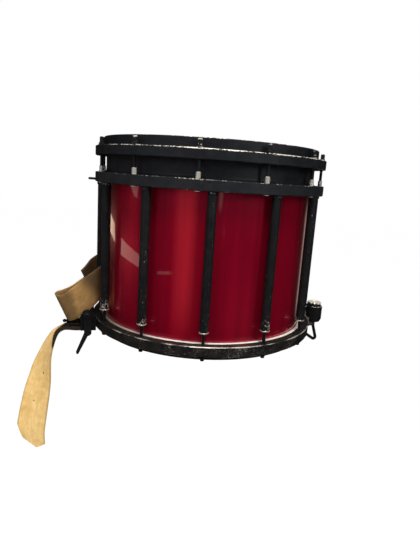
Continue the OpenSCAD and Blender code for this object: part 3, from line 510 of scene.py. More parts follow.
@dataclass(frozen=True)
class TanLeather:
    """Undyed vegetable-tanned harness leather, rough side showing in places.

    It gives the eye a mottled tan with fibres drawn along the strap, fine pores, small dark nicks, edges of
    another tone, which on the loop are a painted highlight, and stretches of painted shade.

    Attributes:
        name: the finish's name.
        light, dark, nick, edge: colours of the hide, of its clouds and fibres, of its nicks and its edges; on
            the loop
        the edge colour is a painted highlight.
        half_mm: half of the strap's width.
        edge_mm: width of its rubbed edges, which on the loop are painted as a highlight.
        cloud_mm, fleck_mm, fibre_mm, wrinkle_mm: sizes of the clouds, nicks, fibres and wrinkles.
        pore_mm: size of a pore, coarser than the real one so that it shows.
        painted_shades: the stretches of painted shade.
    """

    name: str = "undyed_harness_leather"
    light: str = "#D8B277"
    dark: str = "#B48A50"
    nick: str = "#5E4526"
    edge: str = "#8F6A3A"
    half_mm: float = 24.0
    edge_mm: float = 3.0
    cloud_mm: float = 16.0
    fleck_mm: float = 3.2
    fibre_mm: float = 3.0
    wrinkle_mm: float = 6.0
    pore_mm: float = 1.5
    painted_shades: tuple[PaintedShade, ...] = ()

    def material(self) -> Material:
        """Builds the leather, with its fibres, edges and painted shade on the strap's own run map.

        Returns:
            The material.
        """
        material, tree = new_material(self.name)
        place = add(tree, "TexCoord", out="Object")
        cloud = add(tree, "TexNoise", {"Vector": place, "Scale": 1 / (self.cloud_mm * MM), "Detail": 6.0,
                                       "Roughness": 0.66})
        cloud = add(tree, "MapRange", {0: cloud, 1: 0.32, 2: 0.7})
        hide = add(tree, "Mix", {0: cloud, 6: linear(self.light), 7: linear(self.dark)}, out=2,
                   data_type="RGBA")
        fleck = add(tree, "TexNoise", {"Vector": place, "Scale": 1 / (self.fleck_mm * MM), "Detail": 3.0})
        fleck = add(tree, "MapRange", {0: fleck, 1: 0.68, 2: 0.76, 3: 0.0, 4: 0.55})
        hide = add(tree, "Mix", {0: fleck, 6: hide, 7: linear(self.nick)}, out=2, data_type="RGBA")
        chart = add(tree, "UVMap", uv_map="run")
        # Fibres of the rough side, drawn out along the strap
        drawn = add(tree, "VectorMath", {0: chart, 1: (0.16, 1, 1)}, operation="MULTIPLY")
        fibre = add(tree, "TexNoise", {"Vector": drawn, "Scale": 1 / (self.fibre_mm * MM), "Detail": 4.0,
                                       "Roughness": 0.6})
        fibre = add(tree, "MapRange", {0: fibre, 1: 0.42, 2: 0.72, 3: 0.0, 4: 0.55})
        hide = add(tree, "Mix", {0: fibre, 6: hide, 7: linear(self.dark)}, out=2, data_type="RGBA")
        run = add(tree, "SeparateXYZ", {0: chart}, out="X")
        across = add(tree, "SeparateXYZ", {0: chart}, out="Y")
        side = add(tree, "Math", {0: across}, operation="ABSOLUTE")
        # Edge colour: rubbed leather on the tail, and on the loop a painted highlight where the rims catch
        # light
        rubbed = add(tree, "MapRange", {0: side, 1: (self.half_mm - self.edge_mm) * MM, 2: self.half_mm * MM,
                                        3: 0.0, 4: 0.6})
        colour = add(tree, "Mix", {0: rubbed, 6: hide, 7: linear(self.edge)}, out=2, data_type="RGBA")
        # Painted shade over stretches of the strap, with ends that wander a little with the clouds
        ragged = add(tree, "MapRange", {0: cloud, 3: -1.5 * MM, 4: 1.5 * MM})
        for shade_stretch in self.painted_shades:
            slip = add(tree, "Math", {0: across, 1: shade_stretch.slant}, operation="MULTIPLY")
            along = add(tree, "Math", {0: run, 1: slip}, operation="SUBTRACT")
            along = add(tree, "Math", {0: along, 1: ragged}, operation="ADD")
            level: Level = shade_stretch.amount
            for end, inside in ((shade_stretch.start, 1.0), (shade_stretch.end, 0.0)):
                edge = add(tree, "MapRange", {
                    0: along, 1: (end - shade_stretch.soft) * MM, 2: (end + shade_stretch.soft) * MM,
                    3: 1.0 - inside, 4: inside}, interpolation_type="SMOOTHSTEP")
                level = add(tree, "Math", {0: edge, 1: level}, operation="MULTIPLY")
            colour = add(tree, "Mix", {0: level, 6: colour, 7: linear(shade_stretch.colour)}, out=2, data_type="RGBA")
        pores = add(tree, "TexVoronoi", {"Vector": place, "Scale": 1 / (self.pore_mm * MM)})
        wrinkle = add(tree, "TexNoise", {"Vector": place, "Scale": 1 / (self.wrinkle_mm * MM), "Detail": 4.0})
        level = add(tree, "Math", {0: pores, 1: wrinkle}, operation="ADD")
        bump = add(tree, "Bump", {"Strength": 0.35, "Distance": 0.3 * MM, "Height": level})
        skin = add(tree, "BsdfPrincipled", {
            "Base Color": colour, "Roughness": 0.72, "Normal": bump, "Specular IOR Level": 0.25})
        add(tree, "OutputMaterial", {0: skin})
        return material


class RodRow(Enum):
    """The two rows of tension rods, by how their nodes' names begin."""

    TOP = "top_rod"
    BOTTOM = "bottom_rod"

    def rods(self) -> list[str]:
        """Names the row's nodes, in order round the drum."""
        return [f"{self.value}_{i + 1:02d}" for i in range(ROD_COUNT)]


def at_strainer(out: float, along: float, up: float) -> Vector:
    """Turns a place in the strainer's own frame into the drum's frame.

    Args:
        out: distance outwards from the drum's axis in mm.
        along: distance along the hoop in mm.
        up: height in mm.

    Returns:
        The place in metres.
    """
    a = math.radians(STRAINER_ANGLE)
    east = out * math.sin(a) + along * math.cos(a)
    north = along * math.sin(a) - out * math.cos(a)
    return Vector((east, north, up)) * MM


def smooth_run(points: Sequence[Vector], steps: int) -> list[Vector]:
    """Runs a smooth curve through points.

    Args:
        points: the points to pass through.
        steps: places per span.

    Returns:
        The places along the curve.
    """
    count = len(points)
    run = []
    for k in range((count - 1) * steps + 1):
        i = min(k // steps, count - 2)
        f = k / steps - i
        a, b, c, d = (points[max(0, min(count - 1, i + n))] for n in (-1, 0, 1, 2))
        run.append(0.5 * (2 * b + (c - a) * f + (2 * a - 5 * b + 4 * c - d) * f * f
                          + (3 * b - a - 3 * c + d) * f ** 3))
    return run


@dataclass(frozen=True)
class Station:
    """A place along the strap where a section stands.

    Attributes:
        run: distance along the strap in metres.
        place: the middle of the section in metres.
        wide: direction across the strap, stretched where the section slants.
        face: direction out of the strap's face.
    """

    run: float
    place: Vector
    wide: Vector
    face: Vector


@dataclass
class StrapPart:
    """One length of the leather strap, swept along its route.

    Attributes:
        name: the piece's name.
        node: the solid that it stands for.
        route: places along its middle: outwards, along the hoop and up, in mm.
        lean: direction across the strap at each of those places, in the same frame.
        finish: its leather.
        width: width in mm.
        thick: thickness in mm.
        end_cut: corners of the cut end, as (distance from the end, share of the half width) on each edge.
        holes: punched holes, as (distance along, distance across) in mm.
        hole_radius: their radius in mm.
        rests_on: the solid that carries it; not used.
        steps: rings of the mesh between two places of the route.
        lanes: faces across each side of the mesh.
        bevel: how far its rounded edges reach, in mm.
        cup: how far its edges curl up, in mm.
        crease: angle in degrees above which an edge stays sharp.
        length: length along its middle in metres, once it is built.
        piece: the strap itself, once it is built.
    """

    name: str
    node: str
    route: Sequence[Point]
    lean: Sequence[Point]
    finish: TanLeather
    width: float = 48.0
    thick: float = 3.0
    end_cut: tuple[tuple[tuple[float, float], ...], tuple[tuple[float, float], ...]] = ((), ())
    holes: tuple[tuple[float, float], ...] = ()
    hole_radius: float = 1.2
    rests_on: str = "frame_tubes"
    steps: int = 8
    lanes: int = 8
    bevel: float = 0.7
    cup: float = 0.8
    crease: float = 40.0
    length: float = field(default=0.0, init=False)
    piece: Optional[Piece] = field(default=None, init=False)

    @staticmethod
    def _limit(cut: Sequence[tuple[float, float]], left: float) -> float:
        """Gives the share of the half width that is left near the end.

        Args:
            cut: the cut's corners on this edge, from the end inwards.
            left: distance to the end in mm.

        Returns:
            The share, 1 where the strap is whole.
        """
        for (d0, s0), (d1, s1) in zip(cut, cut[1:]):
            if d0 <= left <= d1:
                return s0 + (s1 - s0) * (left - d0) / (d1 - d0)
        return 1.0

    def _profile(self) -> list[tuple[float, float]]:
        """Gives the strap's section: across as a share of the half width, and through it in mm.

        Returns:
            The corners of the section, in order.
        """
        half, bevel = self.thick / 2, self.bevel
        inner = 1 - 2 * bevel / self.width
        flat = [inner * (2 * i / self.lanes - 1) for i in range(self.lanes + 1)]
        # The shoulder stands a little proud of the straight bevel, so that the edge is round
        shoulder, drop = 1 - 0.6 * bevel / self.width, 0.25
        top = [(u, half) for u in flat] + [(shoulder, half - drop), (1.0, half - bevel)]
        low = [(1.0, bevel - half), (shoulder, drop - half)] + [(u, -half) for u in reversed(flat)]
        left = [(-shoulder, drop - half), (-1.0, bevel - half),
                (-1.0, half - bevel), (-shoulder, half - drop)]
        return top + low + left

    def _stations(self) -> list[Station]:
        """Follows the route and stands a section on it at each step.

        Returns:
            The sections' places and directions, in order along the strap.
        """
        middle = smooth_run([at_strainer(*p) for p in self.route], self.steps)
        across = smooth_run([at_strainer(*p) for p in self.lean], self.steps)
        stations = []
        run = 0.0
        for k, place in enumerate(middle):
            behind, before = middle[max(k - 1, 0)], middle[min(k + 1, len(middle) - 1)]
            run += (place - behind).length
            ahead = (before - behind).normalized()
            # The cross direction may slant, and the width is kept square to the run
            wide = across[k] / (across[k] - across[k].dot(ahead) * ahead).length
            stations.append(Station(run, place, wide, ahead.cross(wide).normalized()))
        return stations

    def _sweep(self, stations: Sequence[Station]) -> bpy.types.Mesh:
        """Joins the sections into a closed strap, with a map of each point's place along and across it.

        Args:
            stations: where the sections stand.

        Returns:
            The mesh.
        """
        section = self._profile()
        shape = bmesh.new()
        marks = shape.verts.layers.float_vector.new("run")
        rings = []
        for at in stations:
            left = (self.length - at.run) / MM
            low, high = -self._limit(self.end_cut[0], left), self._limit(self.end_cut[1], left)
            ring = []
            for u, v in section:
                share = (low + high) / 2 + (high - low) / 2 * u
                side = share * self.width / 2 * MM
                # Less a third, so that a cupped section keeps its mean height
                lift = v * MM + self.cup * MM * (share * share - 0.33)
                corner = shape.verts.new(at.place + at.wide * side + at.face * lift)
                corner[marks] = Vector((at.run, side, 0))
                ring.append(corner)
            rings.append(ring)
        for one, two in zip(rings, rings[1:]):
            for j in range(len(section)):
                n = (j + 1) % len(section)
                shape.faces.new((one[j], one[n], two[n], two[j]))
        shape.faces.new(list(reversed(rings[0])))
        shape.faces.new(rings[-1])
        bmesh.ops.recalc_face_normals(shape, faces=shape.faces)
        chart = shape.loops.layers.uv.new("run")
        for face in shape.faces:
            for loop in face.loops:
                loop[chart].uv = loop.vert[marks].xy
        mesh = bpy.data.meshes.new(self.name)
        shape.to_mesh(mesh)
        shape.free()
        return mesh

    def build(self) -> Piece:
        """Sweeps the strap and punches its holes.

        Returns:
            The strap.
        """
        stations = self._stations()
        self.length = stations[-1].run
        self.piece = bpy.data.objects.new(self.name, self._sweep(stations))
        bpy.context.scene.collection.objects.link(self.piece)
        for along, side in self.holes:
            at = min(stations, key=lambda station: abs(station.run - along * MM))
            self._punch(at.place + at.wide * side * MM, at.face)
        self._pick()
        bpy.ops.object.shade_smooth_by_angle(angle=math.radians(self.crease))
        return self.piece

    def _pick(self) -> None:
        """Selects the strap alone and makes it active."""
        bpy.ops.object.select_all(action="DESELECT")
        self.piece.select_set(True)
        bpy.context.view_layer.objects.active = self.piece

    def _punch(self, place: Vector, way: Vector) -> None:
        """Punches one round hole.

        Args:
            place: middle of the hole in metres.
            way: direction through the strap.
        """
        sides, depth = 21, 14.0
        bpy.ops.object.select_all(action="DESELECT")
        bpy.ops.mesh.primitive_cylinder_add(vertices=sides, radius=self.hole_radius * MM, depth=depth * MM,
                                            location=place, rotation=way.to_track_quat("Z", "Y").to_euler())
        punch = bpy.context.active_object
        cut = self.piece.modifiers.new("punch", "BOOLEAN")
        cut.object = punch
        cut.operation = "DIFFERENCE"
        self._pick()
        bpy.ops.object.modifier_apply(modifier=cut.name)
        bpy.data.objects.remove(punch)

    def dress(self) -> None:
        """Gives the strap its leather, hangs it on the drum, hides the solid that it stands for and logs its
        length.
        """
        self.piece.data.materials.append(self.finish.material())
        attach(self.piece, "drum")
        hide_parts(self.node)
        log.info("%s: %.0f mm long", self.name, self.length / MM)


@dataclass
class Strap:
    """The leather strap: a riveted loop round one tube, and a tail hanging under the strainer.

    Attributes:
        loop_at, tail_at: where each part's route is measured from, in the strainer's frame in mm.
        loop, tail: places along each part's middle, from there.
        loop_lean: how far the loop leans outwards and along the hoop at each of its places, per mm of height.
        tail_turn: how far the tail has turned about the upright at each of its places, in degrees.
        tail_tilt: how far it tilts up there, per mm of width.
        parts: the two parts.
    """

    loop_at: Point = (171.7, -46.0, 95.0)
    tail_at: Point = (218.0, 0.0, 1.2)
    loop: tuple[Point, ...] = (
        (34.8, -1.5, -23.5), (27.3, -9, -17), (20.8, -15.3, -10.5), (8.3, -15.5, -2.5), (0.9, -8, 0.5),
        (0, 0, 1), (2.5, 12, -0.5), (5.5, 28, -4), (8.1, 44, -8.5), (13.3, 55, -14), (21.3, 60.5, -20.5),
        (31.3, 62.5, -28.5), (40.3, 63, -36.3), (50.3, 63.2, -44.4), (60.8, 63, -52.5), (69.8, 60.5, -57.2),
        (75.8, 53.5, -57.2), (76.8, 42.5, -55.7), (71.3, 31, -55.6), (56.8, 16, -52), (40.3, -1, -44),
        (18.3, -23, -32.5))
    loop_lean: tuple[tuple[float, float], ...] = (
        (0.45, 0.45), (0.38, 0.38), (0.18, 0.16), *((0, 0),) * 8, (0.05, 0), (0.12, 0.02), (0.25, 0.05),
        (0.38, 0.06), (0.46, 0.04), (0.46, -0.02), (0.4, 0.04), (0.26, 0.14), (0.1, 0.08), (0, 0), (0, 0))
    tail: tuple[Point, ...] = (
        (-6, -2, 0), (7, -2, 0), (19, -2, -0.2), (29, -2, -3), (40.5, -1, -10.7), (50, 1, -28.2),
        (57.5, 4, -49.2), (62, 8, -67.2), (66, 12, -88.2), (71, 16, -112.2), (76, 20, -140.2),
        (81, 24, -173.2), (82, 25, -187.2), (81, 26, -208.2))
    tail_turn: tuple[float, ...] = (0, 0, 0, -3, -10, -17, -25, -36, -48, -60, -68, -74, -76, -76)
    tail_tilt: tuple[float, ...] = (0, 0, 0.06, 0.16, 0.2, 0.16, 0.08, 0, 0, 0, 0, 0, 0, 0)
    parts: list[StrapPart] = field(default_factory=list)

    @staticmethod
    def _moved(places: Sequence[Point], start: Point) -> list[Point]:
        """Moves places that are measured from a start into the strainer's frame.

        Args:
            places: the places.
            start: the start.

        Returns:
            The moved places.
        """
        return [(start[0] + out, start[1] + along, start[2] + up) for out, along, up in places]

    def _loop_part(self) -> StrapPart:
        """Lays out the loop, with painted shade on its inner stretch and in a band at its turn, and a painted
        highlight on its edges.

        Returns:
            The loop, not yet built.
        """
        # Painted light: the hide is a darker, shaded copy of the tail's leather. The long dark stretch round
        # the tube
        # and the band at the turn are painted shade, and the light edge colour is a painted highlight.
        leather = TanLeather("harness_leather_loop_shaded", light="#BE9458", dark="#987244", edge="#C8A066", painted_shades=(
            PaintedShade(-100, 140, 0.75, 14, "#3A2A1D", 0.82), PaintedShade(174, 212, 0, 7, "#2E2410", 0.62)))
        route = self._moved(self.loop, self.loop_at)
        lean = [(out, along, 1) for out, along in self.loop_lean]
        return StrapPart("strap_loop_leather", "strap_loop", route, lean, leather, cup=0.0)

    def _tail_part(self) -> StrapPart:
        """Lays out the tail, with black painted shade under the strainer, and cut askew at its end.

        Returns:
            The tail, not yet built.
        """
        # Painted light: the hide is a lighter, lit copy of the loop's leather, and the black stretch under
        # the strainer is painted shade
        leather = TanLeather("harness_leather_tail_lit", light="#FFDC98", dark="#E2B468", painted_shades=(
            PaintedShade(-100, 51.5, 0.98, 4, "#0B0806", 0.97),))
        route = self._moved(self.tail, self.tail_at)
        turns = [math.radians(t) for t in self.tail_turn]
        lean = [(math.sin(t), math.cos(t), tilt) for t, tilt in zip(turns, self.tail_tilt)]
        return StrapPart("strap_tail_leather", "strap_tail", route, lean, leather,
                         end_cut=(((0, -0.36), (17, 0.52), (42, 1.0)), ((0, 0.42), (6, 1.0))),
                         holes=((121, 7.3), (172, -1.7)), rests_on="strainer_bracket")

    def build(self) -> None:
        """Sweeps both parts along the routes of their solids."""
        self.parts = [self._loop_part(), self._tail_part()]
        for part in self.parts:
            part.build()

    def dress(self) -> None:
        """Dresses both parts."""
        for part in self.parts:
            part.dress()


@dataclass
class Hardware:
    """The drum's own solids, each with its finish.

    Attributes:
        hoop_r, rim_r, ring_r: outer radii of the hoops' flanges, the top rim and the edge ring, in mm.
        rim_z: height of the top rim's edge in mm.
        flange_z, ring_z, low_flange_z: heights of the lower and upper edge of the top flange, the edge ring
            and the bottom flange, in mm.
        knocked: angle of the side that took most knocks, in degrees.
    """

    hoop_r: float = 195.5
    rim_r: float = 181.0
    ring_r: float = 195.3
    rim_z: float = 321.0
    flange_z: tuple[float, float] = (291.4, 305.6)
    ring_z: tuple[float, float] = (249.4, 264.6)
    low_flange_z: tuple[float, float] = (9.0, 24.6)
    knocked: float = 12.0

    def finishes(self) -> list[tuple[Finish, list[str]]]:
        """Pairs each finish with the solids that it is on.

        Returns:
            The finishes, each with the names of its nodes.
        """
        # An upper edge is rounded, so its wear sits a little inside the outer radius
        hoop = WornBlackCoat(
            "black_coat_top_hoop", coat="#16181B", dusty="#202124", bare="#DED6C8", chips=0.55,
            knocked=self.knocked,
            bands=(WearAndHighlightBand(self.flange_z[1], reach=2.6, amount=0.62, radius=self.hoop_r - 0.5),
                   WearAndHighlightBand(self.rim_z, reach=2.0, amount=0.42, radius=self.rim_r),
                   # The band on the flange's lower edge is a painted highlight where its chamfer catches
                   # light, drawn as bare metal
                   WearAndHighlightBand(self.flange_z[0], reach=1.6, amount=0.26, radius=self.hoop_r)))
        ring = WornBlackCoat(
            "black_coat_edge_ring", coat="#1B1D20", dusty="#27272A", chips=0.6, knocked=self.knocked,
            bands=(WearAndHighlightBand(self.ring_z[1], reach=1.8, amount=0.42, radius=self.ring_r - 0.4),
                   WearAndHighlightBand(self.ring_z[0], reach=1.6, amount=0.34, radius=self.ring_r)))
        bottom = WornBlackCoat(
            "black_coat_bottom_hoop", dusty="#2C2620", chips=1.6, grain_mm=1.3, knocked=self.knocked,
            bands=(WearAndHighlightBand(self.low_flange_z[1], reach=2.6, amount=0.6, radius=self.hoop_r - 0.5),
                   WearAndHighlightBand(self.low_flange_z[0], reach=1.8, amount=0.42, radius=self.hoop_r)))
        tubes = WornBlackCoat(
            "black_coat_tubes", chips=1.12, grain_mm=1.5, drawn_out=2.5,
            bands=(WearAndHighlightBand(50, reach=28, amount=0.34), WearAndHighlightBand(247, reach=3.0, amount=0.36)))
        top_rods = WornBlackCoat(
            "black_oxide_top_rods", chips=0.8,
            bands=(WearAndHighlightBand(318, reach=5.0, amount=0.5), WearAndHighlightBand(311, reach=5.0, amount=0.3)))
        washers = WornBlackCoat(
            "black_oxide_washers", chips=0.5, bands=(WearAndHighlightBand(307.5, reach=1.4, amount=0.45),))
        small = WornBlackCoat("black_oxide_steel", chips=0.5, rough=0.38)
        strainer = WornBlackCoat("black_coat_strainer", chips=0.55)
        wheel = WornBlackCoat(
            "black_coat_height_wheel", chips=0.5, bare="#E2DBCB",
            bands=(WearAndHighlightBand(39.3, reach=6.0, amount=0.8),))
        housing = WornBlackCoat(
            "black_coat_butt_housing", chips=0.6, rough=0.3,
            # The bright bands on its upper and lower edges are painted glints, drawn as bare metal
            bands=(WearAndHighlightBand(31.6, reach=2.2, amount=0.42), WearAndHighlightBand(1.0, reach=2.2, amount=0.3)))
        bracket = WornBlackCoat(
            "worn_coat_butt_bracket", coat="#2A2826", dusty="#5C574F", bare="#B4ADA0", chips=1.2,
            bands=(WearAndHighlightBand(20, reach=26, amount=0.6, radius=203),))
        nickel = BareMetal(bright="#EAE3D6", tarnish="#665D51", rough=0.24, metallic=0.6)
        dull = BareMetal("dull_nickel", bright="#B8B0A4", tarnish="#5A5248", rough=0.42, metallic=0.6)
        steel = BareMetal("bright_steel", bright="#BDB8AE", tarnish="#5E5850", rough=0.3)
        brown = BareMetal("browned_steel", bright="#3C2F22", tarnish="#1E1711", rough=0.55, metallic=0.4)
        zinc = BareMetal("grey_cast_zinc", bright="#6E6A64", tarnish="#3A3632", rough=0.5)
        brass = BareMetal("rivet_brass", bright="#B08A4A", tarnish="#6A4F28", rough=0.36)
        way = math.radians(STRAINER_ANGLE)
        wire = BareMetal("coiled_steel_wire", bright="#C4C1BA", tarnish="#77726A", rough=0.28, turned_mm=1.6,
                         turn=(math.sin(way), -math.cos(way), 0.0))
        return [
            (CandyLacquer(), ["shell"]),
            (hoop, ["top_hoop"]),
            (ring, ["edge_ring"]),
            (bottom, ["bottom_hoop"]),
            (tubes, ["frame_tubes"]),
            (top_rods, RodRow.TOP.rods()),
            (washers, ["top_washers"]),
            (small, RodRow.BOTTOM.rods() + [
                "bottom_washers", "strainer_screws", "butt_screws", "tube_screws", "snare_adjuster",
                "snare_guard", "snare_carriage", "lever_pin", "ring_stud"]),
            (strainer, ["strainer_bracket", "strainer_lever"]),
            (housing, ["butt_housing"]),
            (nickel, ["receiver_inserts"]),
            (dull, ["tube_bushes"]),
            (wheel, ["butt_wheel"]),
            (bracket, ["butt_bracket"]),
            (steel, ["carriage_plate", "butt_end_block", "batter_flesh_hoop"]),
            (wire, ["snare_strands"]),
            (zinc, ["butt_lifter"]),
            (brown, ["strap_screws"]),
            (brass, ["strap_rivets"]),
            (WhiteCoat(), ["snare_flesh_hoop"]),
            (WovenHead(), ["batter_film"]),
            (HazyFilm(), ["snare_film"]),
        ]

    def dress(self) -> None:
        """Puts each finish on its solids."""
        for finish, names in self.finishes():
            material = finish.material()
            for name in names:
                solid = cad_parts[name]
                solid.data.materials.clear()
                solid.data.materials.append(material)
                log.info("%s: %s", name, finish.name)


@dataclass
class RodThreads:
    """The screw threads on the bare lengths of one row of tension rods, between a hoop and the frame.

    Attributes:
        row: the row of rods.
        first: angle of its first rod round the drum, in degrees.
        circle: radius of the rods' circle in mm.
        low, high: heights between which the threads show, in mm.
        root, crest: radii of a thread in mm.
        pitch: rise of one turn in mm, coarser than the real 1 mm so that it shows.
        facets: steps in one turn.
        threads: the finished threads, in the order of the rods.
    """

    row: RodRow
    first: float
    circle: float
    low: float
    high: float
    root: float = 2.44
    crest: float = 2.66
    pitch: float = 1.4
    facets: int = 16
    threads: list[Piece] = field(default_factory=list)

    def _axis(self, index: int) -> Vector:
        """Gives the foot of a rod's axis.

        Args:
            index: the rod's place in the row, from 0.

        Returns:
            The foot in metres, at height 0.
        """
        a = math.radians(self.first + 360 / ROD_COUNT * index)
        return Vector((self.circle * math.sin(a), -self.circle * math.cos(a), 0)) * MM

    def _cut(self) -> Piece:
        """Draws one notch of the first rod's thread, winds it up the rod and closes both ends.

        Returns:
            The thread.
        """
        middle = self._axis(0)
        rise = self.crest - self.root
        bpy.ops.object.select_all(action="DESELECT")
        bpy.ops.mesh.primitive_plane_add(size=MM)
        thread = bpy.context.active_object
        bpy.ops.object.mode_set(mode="EDIT")
        bpy.ops.mesh.select_mode(type="VERT")
        bpy.ops.mesh.select_all(action="SELECT")
        bpy.ops.mesh.merge(type="CENTER")
        bpy.ops.transform.translate(value=middle + Vector((self.root, 0, self.low)) * MM)
        for out in (rise, -rise):
            step = Vector((out, 0, self.pitch / 2)) * MM
            bpy.ops.mesh.extrude_region_move(TRANSFORM_OT_translate={"value": step})
        bpy.ops.mesh.select_all(action="SELECT")
        turns = int((self.high - self.low) / self.pitch) - 1
        bpy.ops.mesh.screw(steps=self.facets, turns=turns, center=middle, axis=(0, 0, 1))
        bpy.ops.mesh.select_all(action="SELECT")
        bpy.ops.mesh.remove_doubles(threshold=0.01 * MM)
        bpy.ops.mesh.fill_holes(sides=0)
        bpy.ops.mesh.normals_make_consistent(inside=False)
        bpy.ops.object.mode_set(mode="OBJECT")
        return thread

    def build(self) -> None:
        """Cuts the first rod's thread and copies it to the others."""
        self.threads = [self._cut()]
        for index in range(1, ROD_COUNT):
            bpy.ops.object.select_all(action="DESELECT")
            self.threads[0].select_set(True)
            bpy.context.view_layer.objects.active = self.threads[0]
            bpy.ops.object.duplicate()
            bpy.ops.transform.translate(value=self._axis(index) - self._axis(0))
            bpy.ops.object.transform_apply(location=True, rotation=False, scale=False)
            self.threads.append(bpy.context.active_object)
        for thread, rod in zip(self.threads, self.row.rods()):
            thread.name = rod + "_thread"

    def dress(self, material: Material) -> None:
        """Gives each thread the rods' finish and lets it turn with its rod.

        Args:
            material: the rods' black oxide.
        """
        for thread, rod in zip(self.threads, self.row.rods()):
            thread.data.materials.append(material)
            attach(thread, rod + "_turns")
            log.info("%s: %.0f mm of thread", thread.name, self.high - self.low)


@dataclass(frozen=True)
class LitCard:
    """A lit card on a round wall, which only shows in the drum's gloss.

    Attributes:
        name: the card's name.
        corners: its corners as angle round the drum in degrees and height in metres, from its lower left.
        colour: its light.
        strength: how bright it is.
        feather: share of its width over which each edge fades out.
        wall: radius of the wall in metres.
    """

    name: str
    corners: tuple[tuple[float, float], ...]
    colour: str
    strength: float
    feather: float
    wall: float = 1.8

    def build(self) -> Piece:
        """Bends a grid to the card's corners and lights it.

        Returns:
            The card.
        """
        bpy.ops.object.select_all(action="DESELECT")
        bpy.ops.mesh.primitive_grid_add(x_subdivisions=24, y_subdivisions=4, size=2)
        card = bpy.context.active_object
        card.name = self.name
        low_left, low_right, high_right, high_left = (Vector(c) for c in self.corners)
        for corner in card.data.vertices:
            u, v = corner.co.x / 2 + 0.5, corner.co.y / 2 + 0.5
            angle, high = low_left.lerp(low_right, u).lerp(high_left.lerp(high_right, u), v)
            a = math.radians(angle)
            corner.co = (self.wall * math.sin(a), -self.wall * math.cos(a), high)
        material, tree = new_material(self.name)
        place = add(tree, "TexCoord", out="UV")
        level: Level = self.strength
        for axis in "XY":
            off = add(tree, "SeparateXYZ", {0: place}, out=axis)
            off = add(tree, "Math", {0: off, 1: 0.5}, operation="SUBTRACT")
            off = add(tree, "Math", {0: off}, operation="ABSOLUTE")
            edge = add(tree, "MapRange", {0: off, 1: 0.5 - self.feather, 2: 0.5, 3: 1.0, 4: 0.0},
                       interpolation_type="SMOOTHSTEP")
            level = add(tree, "Math", {0: edge, 1: level}, operation="MULTIPLY")
        add(tree, "OutputMaterial", {0: add(tree, "Emission", {0: linear(self.colour), 1: level})})
        card.data.materials.append(material)
        return card


